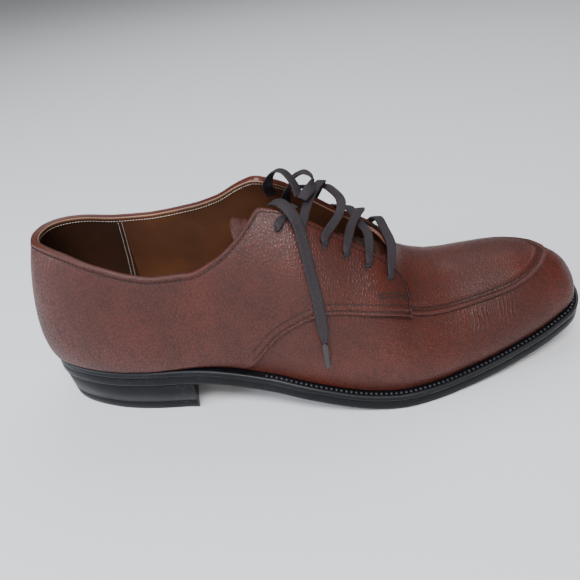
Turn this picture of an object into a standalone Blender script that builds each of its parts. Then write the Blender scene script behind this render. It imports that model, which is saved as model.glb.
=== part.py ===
"""Split toe derby, a man's right shoe: lasted upper on a welted sole with a stacked heel.

Frame: X runs from the heel to the toe, +Y is the inner side of the foot, +Z is up.
The origin lies on the floor under the middle of the heel.
"""

import bmesh
import bpy
import numpy as np
from mathutils import Matrix, Vector

MM = 0.001

# Sole and heel
SOLE_LENGTH = 308 * MM
BALL_WIDTH = 106 * MM
HEEL_WIDTH = 72 * MM
HEEL_LENGTH = 82 * MM
HEEL_HEIGHT = 20 * MM
TOP_LIFT_THICK = 6 * MM
HEEL_TAPER = 2.2 * MM
HEEL_STEP = 0.8 * MM
BREAST_HOLLOW = 3 * MM
OUTSOLE_THICK = 5.8 * MM
WELT_THICK = 3.4 * MM
WELT_MARGIN = 5.4 * MM
SEAT_MARGIN = 1.6 * MM
WELT_SEAT = 9 * MM
TOE_SPRING = 17.5 * MM
TOE_SWING = 6.5 * MM
BACK_SWING = 2.9 * MM

# Upper
CONE_HEIGHT = 95 * MM
BACK_HEIGHT = 72 * MM
THROAT_GAP = 17 * MM
SIDE_BULGE = 4 * MM
VAMP_WALL = 1.6 * MM
QUARTER_LEATHER = 1.3 * MM
APRON_LEATHER = 1.2 * MM
INSOLE_THICK = 3 * MM
TONGUE_THICK = 2 * MM
TONGUE_SAG = 22 * MM
EYELET_BORE = 3.6 * MM
EYELET_SETBACK = 9.5 * MM
EYELET_COUNT = 6

# Lace
LACE_WIDTH = 5.6 * MM
LACE_THICK = 1.4 * MM
TAG_LENGTH = 14 * MM
TAG_RADIUS = 1.3 * MM

CLEARANCE = 0.3 * MM
FACET_SAG = 0.35 * MM

# The shoe is drawn from the heel's back edge and moved at the end.
# Outline of the sole: share of the length, then half widths.
# Up to the waist they are shares of the heel width, and beyond it of the ball width.
HEEL_OUTLINE = [
    # along, outer, inner
    (0.0105, 0.165, 0.240),
    (0.0400, 0.305, 0.385),
    (0.1130, 0.452, 0.490),
    (0.1850, 0.515, 0.490),
    (0.2600, 0.543, 0.470),
]
FORE_OUTLINE = [
    # along, outer, inner
    (0.410, 0.442, 0.322),
    (0.470, 0.490, 0.342),
    (0.560, 0.514, 0.405),
    (0.650, 0.506, 0.475),
    (0.750, 0.425, 0.500),
    (0.850, 0.322, 0.455),
    (0.930, 0.222, 0.355),
    (0.980, 0.125, 0.230),
]

# Underside of the outsole: share of the length, share of the heel height, of the toe spring.
SOLE_RISE = [
    # along, heel, spring
    (0.00, 1.00, 0.00),
    (0.27, 1.00, 0.00),
    (0.45, 0.60, 0.00),
    (0.59, 0.07, 0.00),
    (0.64, 0.00, 0.00),
    (0.71, 0.00, 0.00),
    (0.75, 0.00, 0.06),
    (0.81, 0.00, 0.19),
    (0.90, 0.00, 0.50),
    (1.00, 0.00, 1.00),
]

# Top line of the last above its edge, as a share of the cone height, and how square it is.
RIDGE = [
    # along, height, squareness
    (0.120, 1.000, 2.10),
    (0.200, 1.000, 2.05),
    (0.325, 1.000, 2.10),
    (0.455, 0.980, 2.15),
    (0.550, 0.870, 2.05),
    (0.620, 0.710, 2.00),
    (0.660, 0.568, 1.95),
    (0.700, 0.512, 1.95),
    (0.750, 0.477, 1.93),
    (0.800, 0.464, 2.00),
    (0.850, 0.443, 2.14),
    (0.893, 0.396, 2.25),
]

# Route of the lace's free stretches, in millimetres.
LOOP_BACK = [
    (150.3, -5.5, 108.2), (149.2, -2.6, 112.6), (146.2, 0.5, 117.1), (143.4, 2.8, 119.2),
    (139.9, 5.2, 118.7), (136.6, 7.5, 114.8), (134.9, 9.5, 109.6), (135.1, 14.6, 104.0),
    (136.4, 16.9, 100.3),
]
LOOP_FRONT = [
    (143.0, 19.9, 91.2), (143.4, 17.2, 96.0), (144.2, 11.8, 102.6), (146.3, 9.0, 108.6),
    (148.4, 7.5, 112.5), (150.9, 5.5, 115.3), (154.3, 4.0, 116.9), (157.6, 2.5, 115.4),
    (158.6, 1.4, 112.6), (157.4, -2.0, 111.2), (154.0, -6.2, 109.6), (151.6, -9.0, 107.9),
]
LACE_END = [
    (136.6, -12.0, 109.3), (138.8, -17.0, 111.9), (141.3, -21.3, 112.9), (144.4, -26.0, 111.7),
    (147.2, -29.1, 107.8), (148.9, -31.4, 102.4), (150.0, -34.3, 95.7), (151.6, -39.0, 84.9),
    (153.3, -43.4, 73.6), (154.4, -47.0, 63.3), (155.0, -49.6, 54.0), (155.2, -50.9, 48.6),
]

# Middle points of the laces over the throat, in millimetres, from the outer side to the inner.
BAR_FRONT = [(191.0, 0.0, 81.5)]
CROSS_LOW = [(174.4, 0.0, 91.0)]
CROSS_MIDDLE = [(174.4, 0.0, 91.6)]
CROSS_HIGH = [(168.0, -8.0, 104.0), (164.5, 3.0, 107.0), (158.0, 13.0, 106.0)]
CROSS_TOP = [(154.0, -10.0, 105.0), (158.5, 3.0, 106.8), (160.0, 12.0, 104.5)]

# The last that the routes were drawn on, in millimetres: length, width, cone height, its edge.
ROUTE_LAST = (308.0, 106.0, 95.0)
ROUTE_EDGE = 18.0

# How far the side swells beyond the edge, as a share of the side bulge.
SWELL = [
    # along, outer, inner
    (0.00, 0.80, 0.80),
    (0.15, 0.80, 0.80),
    (0.30, 0.60, 1.00),
    (0.45, 0.50, 1.40),
    (0.60, 0.70, 1.00),
    (0.80, 0.90, 0.90),
    (1.00, 0.60, 0.60),
]
SWELL_PEAK_SHARE = 0.22

# Collar height above the last's edge, as a share of the back height.
COLLAR = [
    # along, outer, inner
    (0.000, 0.985, 0.985),
    (0.030, 0.990, 0.965),
    (0.080, 0.965, 0.935),
    (0.148, 0.880, 0.880),
    (0.206, 0.804, 0.876),
    (0.245, 0.773, 0.890),
    (0.295, 0.779, 0.922),
    (0.341, 0.869, 1.000),
    (0.383, 1.023, 1.140),
    (0.406, 1.138, 1.215),
    (0.430, 1.290, 1.290),
    (0.450, 1.450, 1.400),
]

# Half the gap between the facings, as a share of the throat gap.
FACING = [
    # along, outer, inner
    (0.400, 1.02, 0.62),
    (0.442, 1.10, 0.74),
    (0.500, 1.20, 0.98),
    (0.560, 1.21, 1.08),
    (0.615, 1.22, 1.15),
    (0.634, 1.25, 1.22),
    (0.644, 1.42, 1.40),
    (0.649, 1.70, 1.70),
]

# Lower edge of the quarters and seam of the apron, as a share of the rib's height.
QUARTER_EDGE = [
    # along, outer, inner
    (0.000, 0.000, 0.000),
    (0.350, 0.000, 0.000),
    (0.381, 0.067, 0.067),
    (0.408, 0.182, 0.182),
    (0.430, 0.277, 0.277),
    (0.461, 0.377, 0.377),
    (0.488, 0.450, 0.450),
    (0.516, 0.505, 0.505),
    (0.579, 0.575, 0.575),
    (0.649, 0.665, 0.665),
]
APRON_SEAM = [
    # along, outer, inner
    (0.600, 0.690, 0.690),
    (0.650, 0.692, 0.692),
    (0.720, 0.710, 0.715),
    (0.790, 0.726, 0.735),
    (0.842, 0.750, 0.762),
    (0.877, 0.800, 0.810),
    (0.908, 0.862, 0.868),
    (0.936, 0.915, 0.918),
    (0.965, 0.950, 0.950),
    (1.000, 0.960, 0.960),
]

# Tongue: half width as a share of the rib's reach, drop as a share of the tongue's sag.
TONGUE = [
    # along, half width, drop
    (0.370, 0.20, 1.00),
    (0.376, 0.42, 1.00),
    (0.395, 0.54, 1.00),
    (0.460, 0.56, 0.95),
    (0.520, 0.54, 0.78),
    (0.580, 0.50, 0.48),
    (0.620, 0.42, 0.20),
    (0.645, 0.38, 0.00),
    (0.675, 0.34, 0.00),
]
QUARTER_FRONT_SHARE = 0.649
APRON_BACK_SHARE = 0.628
FLAP_RISE_START_SHARE = 0.545
FLAP_RISE_END_SHARE = 0.615
EYELET_FIRST_SHARE = 0.614
EYELET_STEP_SHARE = 0.0327
OUTER_WELT_START_SHARE = 0.20
INNER_WELT_START_SHARE = 0.36
OUTER_WELT_FULL_SHARE = 0.36
INNER_WELT_FULL_SHARE = 0.60
THROAT_END_SHARE = 0.640
THROAT_ROUND_SHARE = 0.040

STATIONS = 42
ROWS = 10


def column(table, n):
    """One column of a table."""
    return np.array([row[n] for row in table], float)


def smooth(x, xs, ys):
    """Cubic curve through the table's points that adds no bumps between them."""
    xs = np.asarray(xs, float)
    ys = np.asarray(ys, float)
    step = np.diff(xs)
    slope = np.diff(ys) / step
    tangent = np.zeros(len(xs))
    inner = slope[:-1] * slope[1:] > 0
    w1 = 2 * step[1:] + step[:-1]
    w2 = step[1:] + 2 * step[:-1]
    with np.errstate(divide="ignore", invalid="ignore"):
        mean = (w1 + w2) / (w1 / slope[:-1] + w2 / slope[1:])
    tangent[1:-1] = np.where(inner, mean, 0)
    tangent[0] = slope[0]
    tangent[-1] = slope[-1]
    x = np.clip(x, xs[0], xs[-1])
    k = np.clip(np.searchsorted(xs, x) - 1, 0, len(xs) - 2)
    t = (x - xs[k]) / step[k]
    a = (1 + 2 * t) * (1 - t) ** 2
    b = t * (1 - t) ** 2
    c = t * t * (3 - 2 * t)
    d = t * t * (t - 1)
    return a * ys[k] + b * step[k] * tangent[k] + c * ys[k + 1] + d * step[k] * tangent[k + 1]


def table_value(table, along, inner):
    """Second column of a table on the outer side, third on the inner side."""
    outer_value = smooth(along, column(table, 0), column(table, 1))
    inner_value = smooth(along, column(table, 0), column(table, 2))
    return np.where(inner, inner_value, outer_value)


def closed_spline(points, steps=24):
    """Closed curve through the points, as a dense polyline."""
    p = np.asarray(points, float)
    n = len(p)
    out = []
    for i in range(n):
        a, b, c, d = p[i - 1], p[i], p[(i + 1) % n], p[(i + 2) % n]
        ka = np.linalg.norm(b - a) ** 0.5
        kb = np.linalg.norm(c - b) ** 0.5
        kc = np.linalg.norm(d - c) ** 0.5
        m1 = c - b + kb * ((b - a) / ka - (c - a) / (ka + kb))
        m2 = c - b + kb * ((d - c) / kc - (d - b) / (kb + kc))
        for t in np.arange(steps) / steps:
            out.append((2 * t**3 - 3 * t**2 + 1) * b + (t**3 - 2 * t**2 + t) * m1
                       + (3 * t**2 - 2 * t**3) * c + (t**3 - t**2) * m2)
    return np.array(out)


def sole_outline_points():
    """Outline of the sole from the heel's back, along the outer side to the toe and back."""
    outer = [(0.0, BACK_SWING)]
    inner = []
    for table, width in ((HEEL_OUTLINE, HEEL_WIDTH), (FORE_OUTLINE, BALL_WIDTH)):
        for along, out_share, in_share in table:
            outer.append((along * SOLE_LENGTH, -out_share * width))
            inner.append((along * SOLE_LENGTH, in_share * width))
    return outer + [(SOLE_LENGTH, TOE_SWING)] + inner[::-1]


def half_lengths():
    """The outline's two halves as polylines with their arc lengths, from heel to toe."""
    loop = closed_spline(sole_outline_points())
    toe = int(loop[:, 0].argmax())
    halves = []
    for half in (loop[: toe + 1], np.vstack([loop[toe:], loop[:1]])[::-1]):
        arc = np.concatenate([[0], np.cumsum(np.linalg.norm(np.diff(half, axis=0), axis=1))])
        halves.append((half, arc))
    return halves


HALVES = half_lengths()


def edge_point(s):
    """Point of the sole's outline: s goes 0 to 1 on the outer side, 1 to 2 back on the inner."""
    s = np.mod(s, 2.0)
    out = np.zeros(np.shape(s) + (2,))
    for half, mask, share in ((0, s <= 1, s), (1, s > 1, 2 - s)):
        line, arc = HALVES[half]
        at = np.clip(share, 0, 1) * arc[-1]
        point = np.stack([np.interp(at, arc, line[:, 0]), np.interp(at, arc, line[:, 1])], -1)
        out = np.where(mask[..., None], point, out)
    return out


def inset_edge(s, inset):
    """The outline moved inwards by inset."""
    d = 0.006
    run = edge_point(s + d) - edge_point(s - d)
    run /= np.linalg.norm(run, axis=-1)[..., None]
    inward = np.stack([-run[..., 1], run[..., 0]], -1)
    return edge_point(s) + inward * np.asarray(inset)[..., None], inward


def sole_under(x):
    """Height of the outsole's underside."""
    along = x / SOLE_LENGTH
    xs = column(SOLE_RISE, 0)
    heel = smooth(along, xs, column(SOLE_RISE, 1)) * HEEL_HEIGHT
    return heel + smooth(along, xs, column(SOLE_RISE, 2)) * TOE_SPRING


def feather_height(x):
    """Height of the welt's top face, on which the upper stands."""
    return sole_under(x) + OUTSOLE_THICK + WELT_THICK + 2 * CLEARANCE


def ease(x, low, high):
    """Smooth step from 0 at low to 1 at high."""
    t = np.clip((x - low) / (high - low), 0, 1)
    return t * t * (3 - 2 * t)


def margin(s):
    """How far the upper stands inside the sole's edge: little at the heel, more in front."""
    x = edge_point(s)[..., 0]
    inner = np.mod(s, 2) > 1
    start = np.where(inner, INNER_WELT_START_SHARE, OUTER_WELT_START_SHARE)
    end = np.where(inner, INNER_WELT_FULL_SHARE, OUTER_WELT_FULL_SHARE)
    return SEAT_MARGIN + (WELT_MARGIN - SEAT_MARGIN) * ease(x / SOLE_LENGTH, start, end)


def spine_x(x):
    """Where the rib that starts at x on the edge meets the last's top line."""
    low = RIDGE[0][0] * SOLE_LENGTH
    high = RIDGE[-1][0] * SOLE_LENGTH
    soft = 0.03 * SOLE_LENGTH
    x = low + soft * np.logaddexp(0, (x - low) / soft)
    return high - soft * np.logaddexp(0, (high - x) / soft)


def rib(s):
    """Foot of the rib, its inward direction, its top, squareness and swell."""
    u = np.where(s <= 1, s, 2 - s)
    foot, inward = inset_edge(s, margin(s))
    mean_x = (inset_edge(u, margin(u))[0][..., 0] + inset_edge(2 - u, margin(2 - u))[0][..., 0]) / 2
    top_x = spine_x(mean_x)
    along = top_x / SOLE_LENGTH
    height = smooth(along, column(RIDGE, 0), column(RIDGE, 1)) * CONE_HEIGHT
    square = smooth(along, column(RIDGE, 0), column(RIDGE, 2))
    swell = table_value(SWELL, foot[..., 0] / SOLE_LENGTH, s > 1) * SIDE_BULGE
    return foot, inward, top_x, feather_height(top_x) + height, square, swell


def skin_point(s, phi):
    """Point of the last's outer skin: phi is 0 at the edge and a right angle on the top line."""
    s, phi = np.broadcast_arrays(np.asarray(s, float), np.asarray(phi, float))
    over = phi > np.pi / 2
    s = np.mod(np.where(over, 2 - s, s), 2.0)
    phi = np.where(over, np.pi - phi, phi)
    foot, inward, top_x, top_z, square, swell = rib(s)
    foot_z = feather_height(foot[..., 0])
    sine = np.clip(np.sin(phi), 1e-9, 1)
    cosine = np.clip(np.cos(phi), 0, 1)
    rise = sine ** (2 / square)
    across = 1 - cosine ** (2 / square)
    swelling = swell * rise / SWELL_PEAK_SHARE * np.exp(1 - rise / SWELL_PEAK_SHARE)
    x = foot[..., 0] + (top_x - foot[..., 0]) * across - inward[..., 0] * swelling
    y = foot[..., 1] * (1 - across) - inward[..., 1] * swelling
    z = foot_z + (top_z - foot_z) * rise
    return np.stack([x, y, z], -1)


def skin(s, phi, lift=0.0):
    """Skin moved outwards by lift."""
    s, phi = np.broadcast_arrays(np.asarray(s, float), np.asarray(phi, float))
    ds = 0.004
    dp = 0.02
    low = np.clip(phi - dp, 0.002, None)
    run = skin_point(s + ds, phi) - skin_point(s - ds, phi)
    climb = skin_point(s, phi + dp) - skin_point(s, low)
    normal = np.cross(run, climb)
    length = np.linalg.norm(normal, axis=-1)[..., None]
    normal = np.where(length > 1e-12, normal / np.maximum(length, 1e-12), (0.0, 0.0, 1.0))
    return skin_point(s, phi) + normal * np.asarray(lift)[..., None]


def phi_at_rise(s, share):
    """Angle at which the skin has a given share of its rib's height."""
    square = rib(s)[4]
    return np.arcsin(np.clip(share, 0, 1) ** (square / 2))


def phi_at_gap(s, gap):
    """Angle at which the skin stands a given distance from the top line."""
    foot, _, top_x, _, square, _ = rib(s)
    reach = np.hypot(foot[..., 1], foot[..., 0] - top_x)
    return np.arccos(np.clip(gap / reach, 0, 1) ** (square / 2))


def soft_min(a, b, k=0.045):
    """The smaller of two values with a rounded change between them."""
    return -k * np.logaddexp(-a / k, -b / k)


def along_at(s):
    """Share of the sole's length at the rib's foot."""
    return inset_edge(s, margin(s))[0][..., 0] / SOLE_LENGTH


def collar_angle(s):
    """Angle of the collar's edge."""
    _, _, top_x, top_z, _, _ = rib(s)
    along = along_at(s)
    height = table_value(COLLAR, along, s > 1) * BACK_HEIGHT
    rise = height / (top_z - feather_height(along * SOLE_LENGTH))
    return phi_at_rise(s, rise)


def facing_angle(s):
    """Angle of the facing's edge."""
    along = along_at(s)
    gap = table_value(FACING, along, s > 1) * THROAT_GAP
    return phi_at_gap(s, gap)


def opening_angle(s):
    """Where the upper ends: at the collar, at the facings, or closed over the top line."""
    along = along_at(s)
    closing = np.clip((THROAT_END_SHARE - along) / THROAT_ROUND_SHARE, 0, 1) ** 0.5
    gap = table_value(FACING, np.minimum(along, THROAT_END_SHARE - THROAT_ROUND_SHARE), s > 1) * THROAT_GAP
    open_top = soft_min(collar_angle(s), phi_at_gap(s, gap * closing))
    return np.where(along >= THROAT_END_SHARE, np.pi / 2, open_top)


def quarter_lift(s):
    """Height of the quarter's underside over the vamp: its front flap lies on the apron."""
    flap = ease(along_at(s), FLAP_RISE_START_SHARE, FLAP_RISE_END_SHARE)
    seat = CLEARANCE + FACET_SAG
    return seat + (APRON_LEATHER + seat) * flap


def eyelet_stations(inner):
    """Station and angle of each eyelet on one side, from the front one to the top one."""
    u = np.linspace(0, 1, 2001)
    s = 2 - u if inner else u
    along = along_at(s)
    spots = []
    for i in range(EYELET_COUNT):
        here = np.interp(EYELET_FIRST_SHARE - i * EYELET_STEP_SHARE, along, s)
        station = np.array([here])
        edge = facing_angle(station)[0]
        phi = np.linspace(edge, edge / 2, 200)
        fall = np.linalg.norm(np.diff(skin_point(here, phi), axis=0), axis=1)
        spots.append((here, float(np.interp(EYELET_SETBACK, np.cumsum(fall), phi[1:]))))
    return spots


def clean(scene_objects):
    """Start from an empty scene."""
    for obj in list(scene_objects):
        bpy.data.objects.remove(obj, do_unlink=True)


def finish_material(name, colour, roughness, metallic=0.0):
    """Principled material with the part's colour."""
    mat = bpy.data.materials.new(name)
    mat.use_nodes = True
    shader = mat.node_tree.nodes["Principled BSDF"]
    shader.inputs["Base Color"].default_value = (*colour, 1)
    shader.inputs["Roughness"].default_value = roughness
    shader.inputs["Metallic"].default_value = metallic
    mat.diffuse_color = (*colour, 1)
    return mat


def add_mesh(name, verts, faces, material, group, smooth_angle=40):
    """Object from points and faces, doubles merged and faces turned out."""
    bm = bmesh.new()
    made = [bm.verts.new(tuple(v)) for v in verts]
    for face in faces:
        corners = [made[i] for i in face]
        bm.faces.new(corners)
    bmesh.ops.remove_doubles(bm, verts=bm.verts, dist=0.01 * MM)
    bmesh.ops.dissolve_degenerate(bm, edges=bm.edges, dist=0.01 * MM)
    bmesh.ops.recalc_face_normals(bm, faces=bm.faces)
    mesh = bpy.data.meshes.new(name)
    bm.to_mesh(mesh)
    bm.free()
    mesh.shade_smooth()
    mesh.set_sharp_from_angle(angle=np.radians(smooth_angle))
    obj = bpy.data.objects.new(name, mesh)
    obj.data.materials.append(material)
    group.objects.link(obj)
    return obj


def grid_faces(rows, cols, start=0, flip=False, closed=False):
    """Quads of a grid of points, closed to a ring of rows where asked."""
    faces = []
    for i in range(rows if closed else rows - 1):
        k = (i + 1) % rows
        for j in range(cols - 1):
            quad = [start + i * cols + j, start + k * cols + j,
                    start + k * cols + j + 1, start + i * cols + j + 1]
            faces.append(quad[::-1] if flip else quad)
    return faces


def slab(name, top, bottom, material, group, zipped=False):
    """Solid between two grids of the same shape; a zipped one closes on itself at its last row."""
    rows, cols = top.shape[:2]
    count = rows * cols
    faces = grid_faces(rows, cols) + grid_faces(rows, cols, count, flip=True)
    rim = [(0, j) for j in range(cols)] + [(i, cols - 1) for i in range(1, rows)]
    rim += [(rows - 1, j) for j in range(cols - 2, -1, -1)] + [(i, 0) for i in range(rows - 2, 0, -1)]
    for a, b in zip(rim, rim[1:] + rim[:1]):
        if zipped and a[0] == b[0] == rows - 1:
            continue
        i = a[0] * cols + a[1]
        j = b[0] * cols + b[1]
        faces.append([i, j, count + j, count + i])
    verts = np.vstack([top.reshape(-1, 3), bottom.reshape(-1, 3)])
    return add_mesh(name, verts, faces, material, group)


def across_rows(inset, ends=(0.0, 1.0), cols=6, rows=STATIONS):
    """Points across the sole between the two sides of its inset outline."""
    u = np.linspace(*ends, rows)
    outer = inset_edge(u, inset(u))[0]
    inner = inset_edge(2 - u, inset(2 - u))[0]
    t = np.linspace(0, 1, cols)[None, :, None]
    return outer[:, None] * (1 - t) + inner[:, None] * t


def plate(name, inset, low, high, material, group, cols=6):
    """Plate that follows the sole, low and high above its underside."""
    flat = across_rows(inset, cols=cols)
    base = sole_under(flat[..., 0])
    top = np.dstack([flat, base + high])
    bottom = np.dstack([flat, base + low])
    return slab(name, top, bottom, material, group)


def make_welt(material, group):
    """Ring on the outsole's edge that the upper stands on."""
    s = np.linspace(0, 2, 2 * STATIONS, endpoint=False)
    low = OUTSOLE_THICK + CLEARANCE
    rings = []
    for inset, height in ((0.0, low), (0.0, low + WELT_THICK),
                          (WELT_SEAT, low + WELT_THICK), (WELT_SEAT, low), (0.0, low)):
        flat = inset_edge(s, np.full(len(s), inset))[0]
        rings.append(np.column_stack([flat, sole_under(flat[:, 0]) + height]))
    grid = np.stack(rings, 1)
    faces = grid_faces(len(s), 5, closed=True)
    return add_mesh("welt", grid.reshape(-1, 3), faces, material, group)


def heel_slice(name, low, high, inset_low, inset_high, material, group):
    """Layer of the heel with its hollow front face, tapering downwards."""
    rows, cols = 16, 6
    fine = np.linspace(0, 1, 2001)
    half = len(fine) // 2
    grids = []
    for height, inset in ((high, inset_high), (low, inset_low)):
        outer_line = inset_edge(fine, np.full(len(fine), inset))[0]
        inner_line = inset_edge(2 - fine, np.full(len(fine), inset))[0]
        outer_end = np.interp(HEEL_LENGTH, outer_line[:half, 0], fine[:half])
        inner_end = np.interp(HEEL_LENGTH, inner_line[:half, 0], fine[:half])
        share = np.linspace(0, 1, rows)
        outer = inset_edge(share * outer_end, np.full(rows, inset))[0]
        inner = inset_edge(2 - share * inner_end, np.full(rows, inset))[0]
        t = np.linspace(0, 1, cols)
        flat = outer[:, None] * (1 - t[None, :, None]) + inner[:, None] * t[None, :, None]
        hollow = BREAST_HOLLOW * share[:, None] ** 6 * (1 - (2 * t[None] - 1) ** 2)
        flat[..., 0] -= hollow
        grids.append(np.dstack([flat, np.full(flat.shape[:2], height)]))
    return slab(name, grids[0], grids[1], material, group)


def make_upper(material, group):
    """Hollow upper: vamp, sides and back in one wall, open at collar, throat and underneath."""
    s = np.linspace(0, 2, 2 * STATIONS, endpoint=False)
    top = opening_angle(s)
    share = np.linspace(0, 1, ROWS + 1)
    phi = 0.03 + (top[:, None] - 0.03) * share[None] ** 1.1
    points = skin(s[:, None], phi)
    points[:, 0, 2] = feather_height(points[:, 0, 0]) + CLEARANCE
    faces = grid_faces(len(s), ROWS + 1, closed=True)
    obj = add_mesh("upper", points.reshape(-1, 3), faces, material, group)
    wall = obj.modifiers.new("wall", "SOLIDIFY")
    wall.thickness = VAMP_WALL
    wall.offset = -1
    wall.use_even_offset = True
    return obj


def make_quarter(name, inner, material, group):
    """One side piece from the back seam to its flap over the vamp, lying on the upper."""
    u = np.linspace(0, 1, 4001)
    front = np.interp(QUARTER_FRONT_SHARE, along_at(2 - u if inner else u), u)
    seam = CLEARANCE / 2 / HALVES[int(inner)][1][-1]
    share = np.linspace(0, 1, 26)
    u = seam + (front - seam) * share
    s = 2 - u if inner else u
    low = phi_at_rise(s, table_value(QUARTER_EDGE, along_at(s), inner))
    low = np.maximum(low, 0.03)
    top = soft_min(collar_angle(s), facing_angle(s))
    top = np.maximum(top, low + 0.01)
    t = np.linspace(0, 1, 9)
    phi = low[:, None] + (top - low)[:, None] * t
    under = quarter_lift(s)[:, None]
    outside = skin(s[:, None], phi, under + QUARTER_LEATHER)
    inside = skin(s[:, None], phi, under)
    for grid in (outside, inside):
        floor = feather_height(grid[..., 0]) + CLEARANCE
        grid[..., 2] = np.maximum(grid[..., 2], floor)
    return slab(name, outside, inside, material, group)


def make_apron(material, group):
    """Raised piece over the toe, inside its seam, cut between two offsets of the skin."""
    u = np.linspace(0, 1, 4001)
    back = np.interp(APRON_BACK_SHARE, along_at(u), u)
    u = back + (1 - back) * np.linspace(0, 1, 20) ** 0.9
    low = phi_at_rise(u, table_value(APRON_SEAM, along_at(u), False))
    high = phi_at_rise(2 - u, table_value(APRON_SEAM, along_at(2 - u), True))
    low[-1] = high[-1] = (low[-1] + high[-1]) / 2
    t = np.linspace(-1, 1, 11)
    across = np.where(t < 0, np.pi / 2 + (np.pi / 2 - low[:, None]) * t,
                      np.pi / 2 + (np.pi / 2 - high[:, None]) * t)
    seat = CLEARANCE + FACET_SAG
    outside = skin(u[:, None], across, seat + APRON_LEATHER)
    inside = skin(u[:, None], across, seat)
    return slab("apron", outside, inside, material, group, zipped=True)


def make_tongue(material, group):
    """Tongue from under the vamp back to the collar, sunk between the facings."""
    u = np.linspace(0, 1, 4001)
    span = np.interp([TONGUE[0][0], TONGUE[-1][0]], along_at(u), u)
    u = np.linspace(*span, 14)
    along = along_at(u)
    half = smooth(along, column(TONGUE, 0), column(TONGUE, 1))
    drop = smooth(along, column(TONGUE, 0), column(TONGUE, 2)) * TONGUE_SAG
    square = rib(u)[4]
    low = high = np.arccos(half ** (square / 2))
    t = np.linspace(-1, 1, 9)
    across = np.where(t < 0, np.pi / 2 + (np.pi / 2 - low[:, None]) * t,
                      np.pi / 2 + (np.pi / 2 - high[:, None]) * t)
    under_wall = -(VAMP_WALL + 2 * CLEARANCE)
    grids = []
    for depth in (0, TONGUE_THICK):
        grid = skin(u[:, None], across, under_wall - depth)
        grid[..., 2] -= drop[:, None]
        grids.append(grid)
    return slab("tongue", grids[0], grids[1], material, group)


def curve_through(points, per_span=5):
    """Smooth open curve through the points."""
    p = np.asarray(points, float)
    ends = np.vstack([2 * p[0] - p[1], p, 2 * p[-1] - p[-2]])
    out = []
    for i in range(1, len(p)):
        a, b, c, d = ends[i - 1: i + 3]
        for t in np.arange(per_span) / per_span:
            out.append(0.5 * (2 * b + (c - a) * t + (2 * a - 5 * b + 4 * c - d) * t**2
                              + (3 * b - a - 3 * c + d) * t**3))
    return np.array(out + [p[-1]])


def ribbon(name, path, ups, material, group, per_span=3):
    """Flat lace along a path: ups are the directions its broad side faces at the points."""
    line = curve_through(path, per_span)
    share = np.linspace(0, len(ups) - 1, len(line))
    ups = np.asarray(ups, float)
    up = np.stack([np.interp(share, np.arange(len(ups)), ups[:, k]) for k in range(3)], 1)
    run = np.gradient(line, axis=0)
    run /= np.linalg.norm(run, axis=1)[:, None]
    side = np.cross(run, up)
    side /= np.linalg.norm(side, axis=1)[:, None]
    up = np.cross(side, run)
    w = LACE_WIDTH / 2
    h = LACE_THICK / 2
    ring = [(-w, -h), (-w, h), (w, h), (w, -h)]
    grid = np.stack([line + side * a + up * b for a, b in ring], 1)
    count = len(ring)
    faces = []
    for i in range(len(line) - 1):
        for j in range(count):
            k = (j + 1) % count
            faces.append([i * count + j, (i + 1) * count + j, (i + 1) * count + k, i * count + k])
    faces.append(list(range(count)))
    faces.append([(len(line) - 1) * count + j for j in range(count)])
    return add_mesh(name, grid.reshape(-1, 3), faces, material, group)


def route(points):
    """Points of a lace's route in metres, moved with the size of the last."""
    length, width, cone = ROUTE_LAST
    x, y, z = np.array(points).T
    base = ROUTE_EDGE * MM
    height = base + (z - ROUTE_EDGE) * CONE_HEIGHT / cone
    return list(np.column_stack([x * SOLE_LENGTH / length, y * BALL_WIDTH / width, height]))


def lace_bar(name, start, end, middle, material, group):
    """Lace from an eyelet on the outer side over the throat to one on the inner side."""
    height = LACE_THICK / 2 + 2 * CLEARANCE
    path = []
    ups = []
    for (s, phi), order in ((start, 1), (end, -1)):
        station = np.array([s])
        edge = float(facing_angle(station)[0])
        rim = quarter_lift(station) + QUARTER_LEATHER
        halfway = np.array([phi + (edge - phi) * 0.5])
        points = [skin(station, np.array([phi]), rim + height)[0],
                  skin(station, halfway, rim + height + LACE_THICK)[0],
                  skin(station, np.array([edge]), rim + height + 1.2 * LACE_THICK)[0]]
        out = skin(station, np.array([phi]), rim + 2 * height)[0] - points[0]
        out = out / np.linalg.norm(out)
        path.append(points[::order])
        ups.append([out, out, (0, -0.3 * order, 1)][::order])
    path = path[0] + route(middle) + path[1]
    ups = ups[0] + [(0, 0, 1)] * len(middle) + ups[1]
    return ribbon(name, path, ups, material, group)


def join(name, pieces, group):
    """Union of overlapping pieces as one object."""
    body = pieces[0]
    for other in pieces[1:]:
        union = body.modifiers.new("join", "BOOLEAN")
        union.operation = "UNION"
        union.object = other
    graph = bpy.context.evaluated_depsgraph_get()
    mesh = bpy.data.meshes.new_from_object(body.evaluated_get(graph))
    for piece in pieces:
        bpy.data.objects.remove(piece, do_unlink=True)
    mesh.name = name
    obj = bpy.data.objects.new(name, mesh)
    group.objects.link(obj)
    return obj


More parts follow.
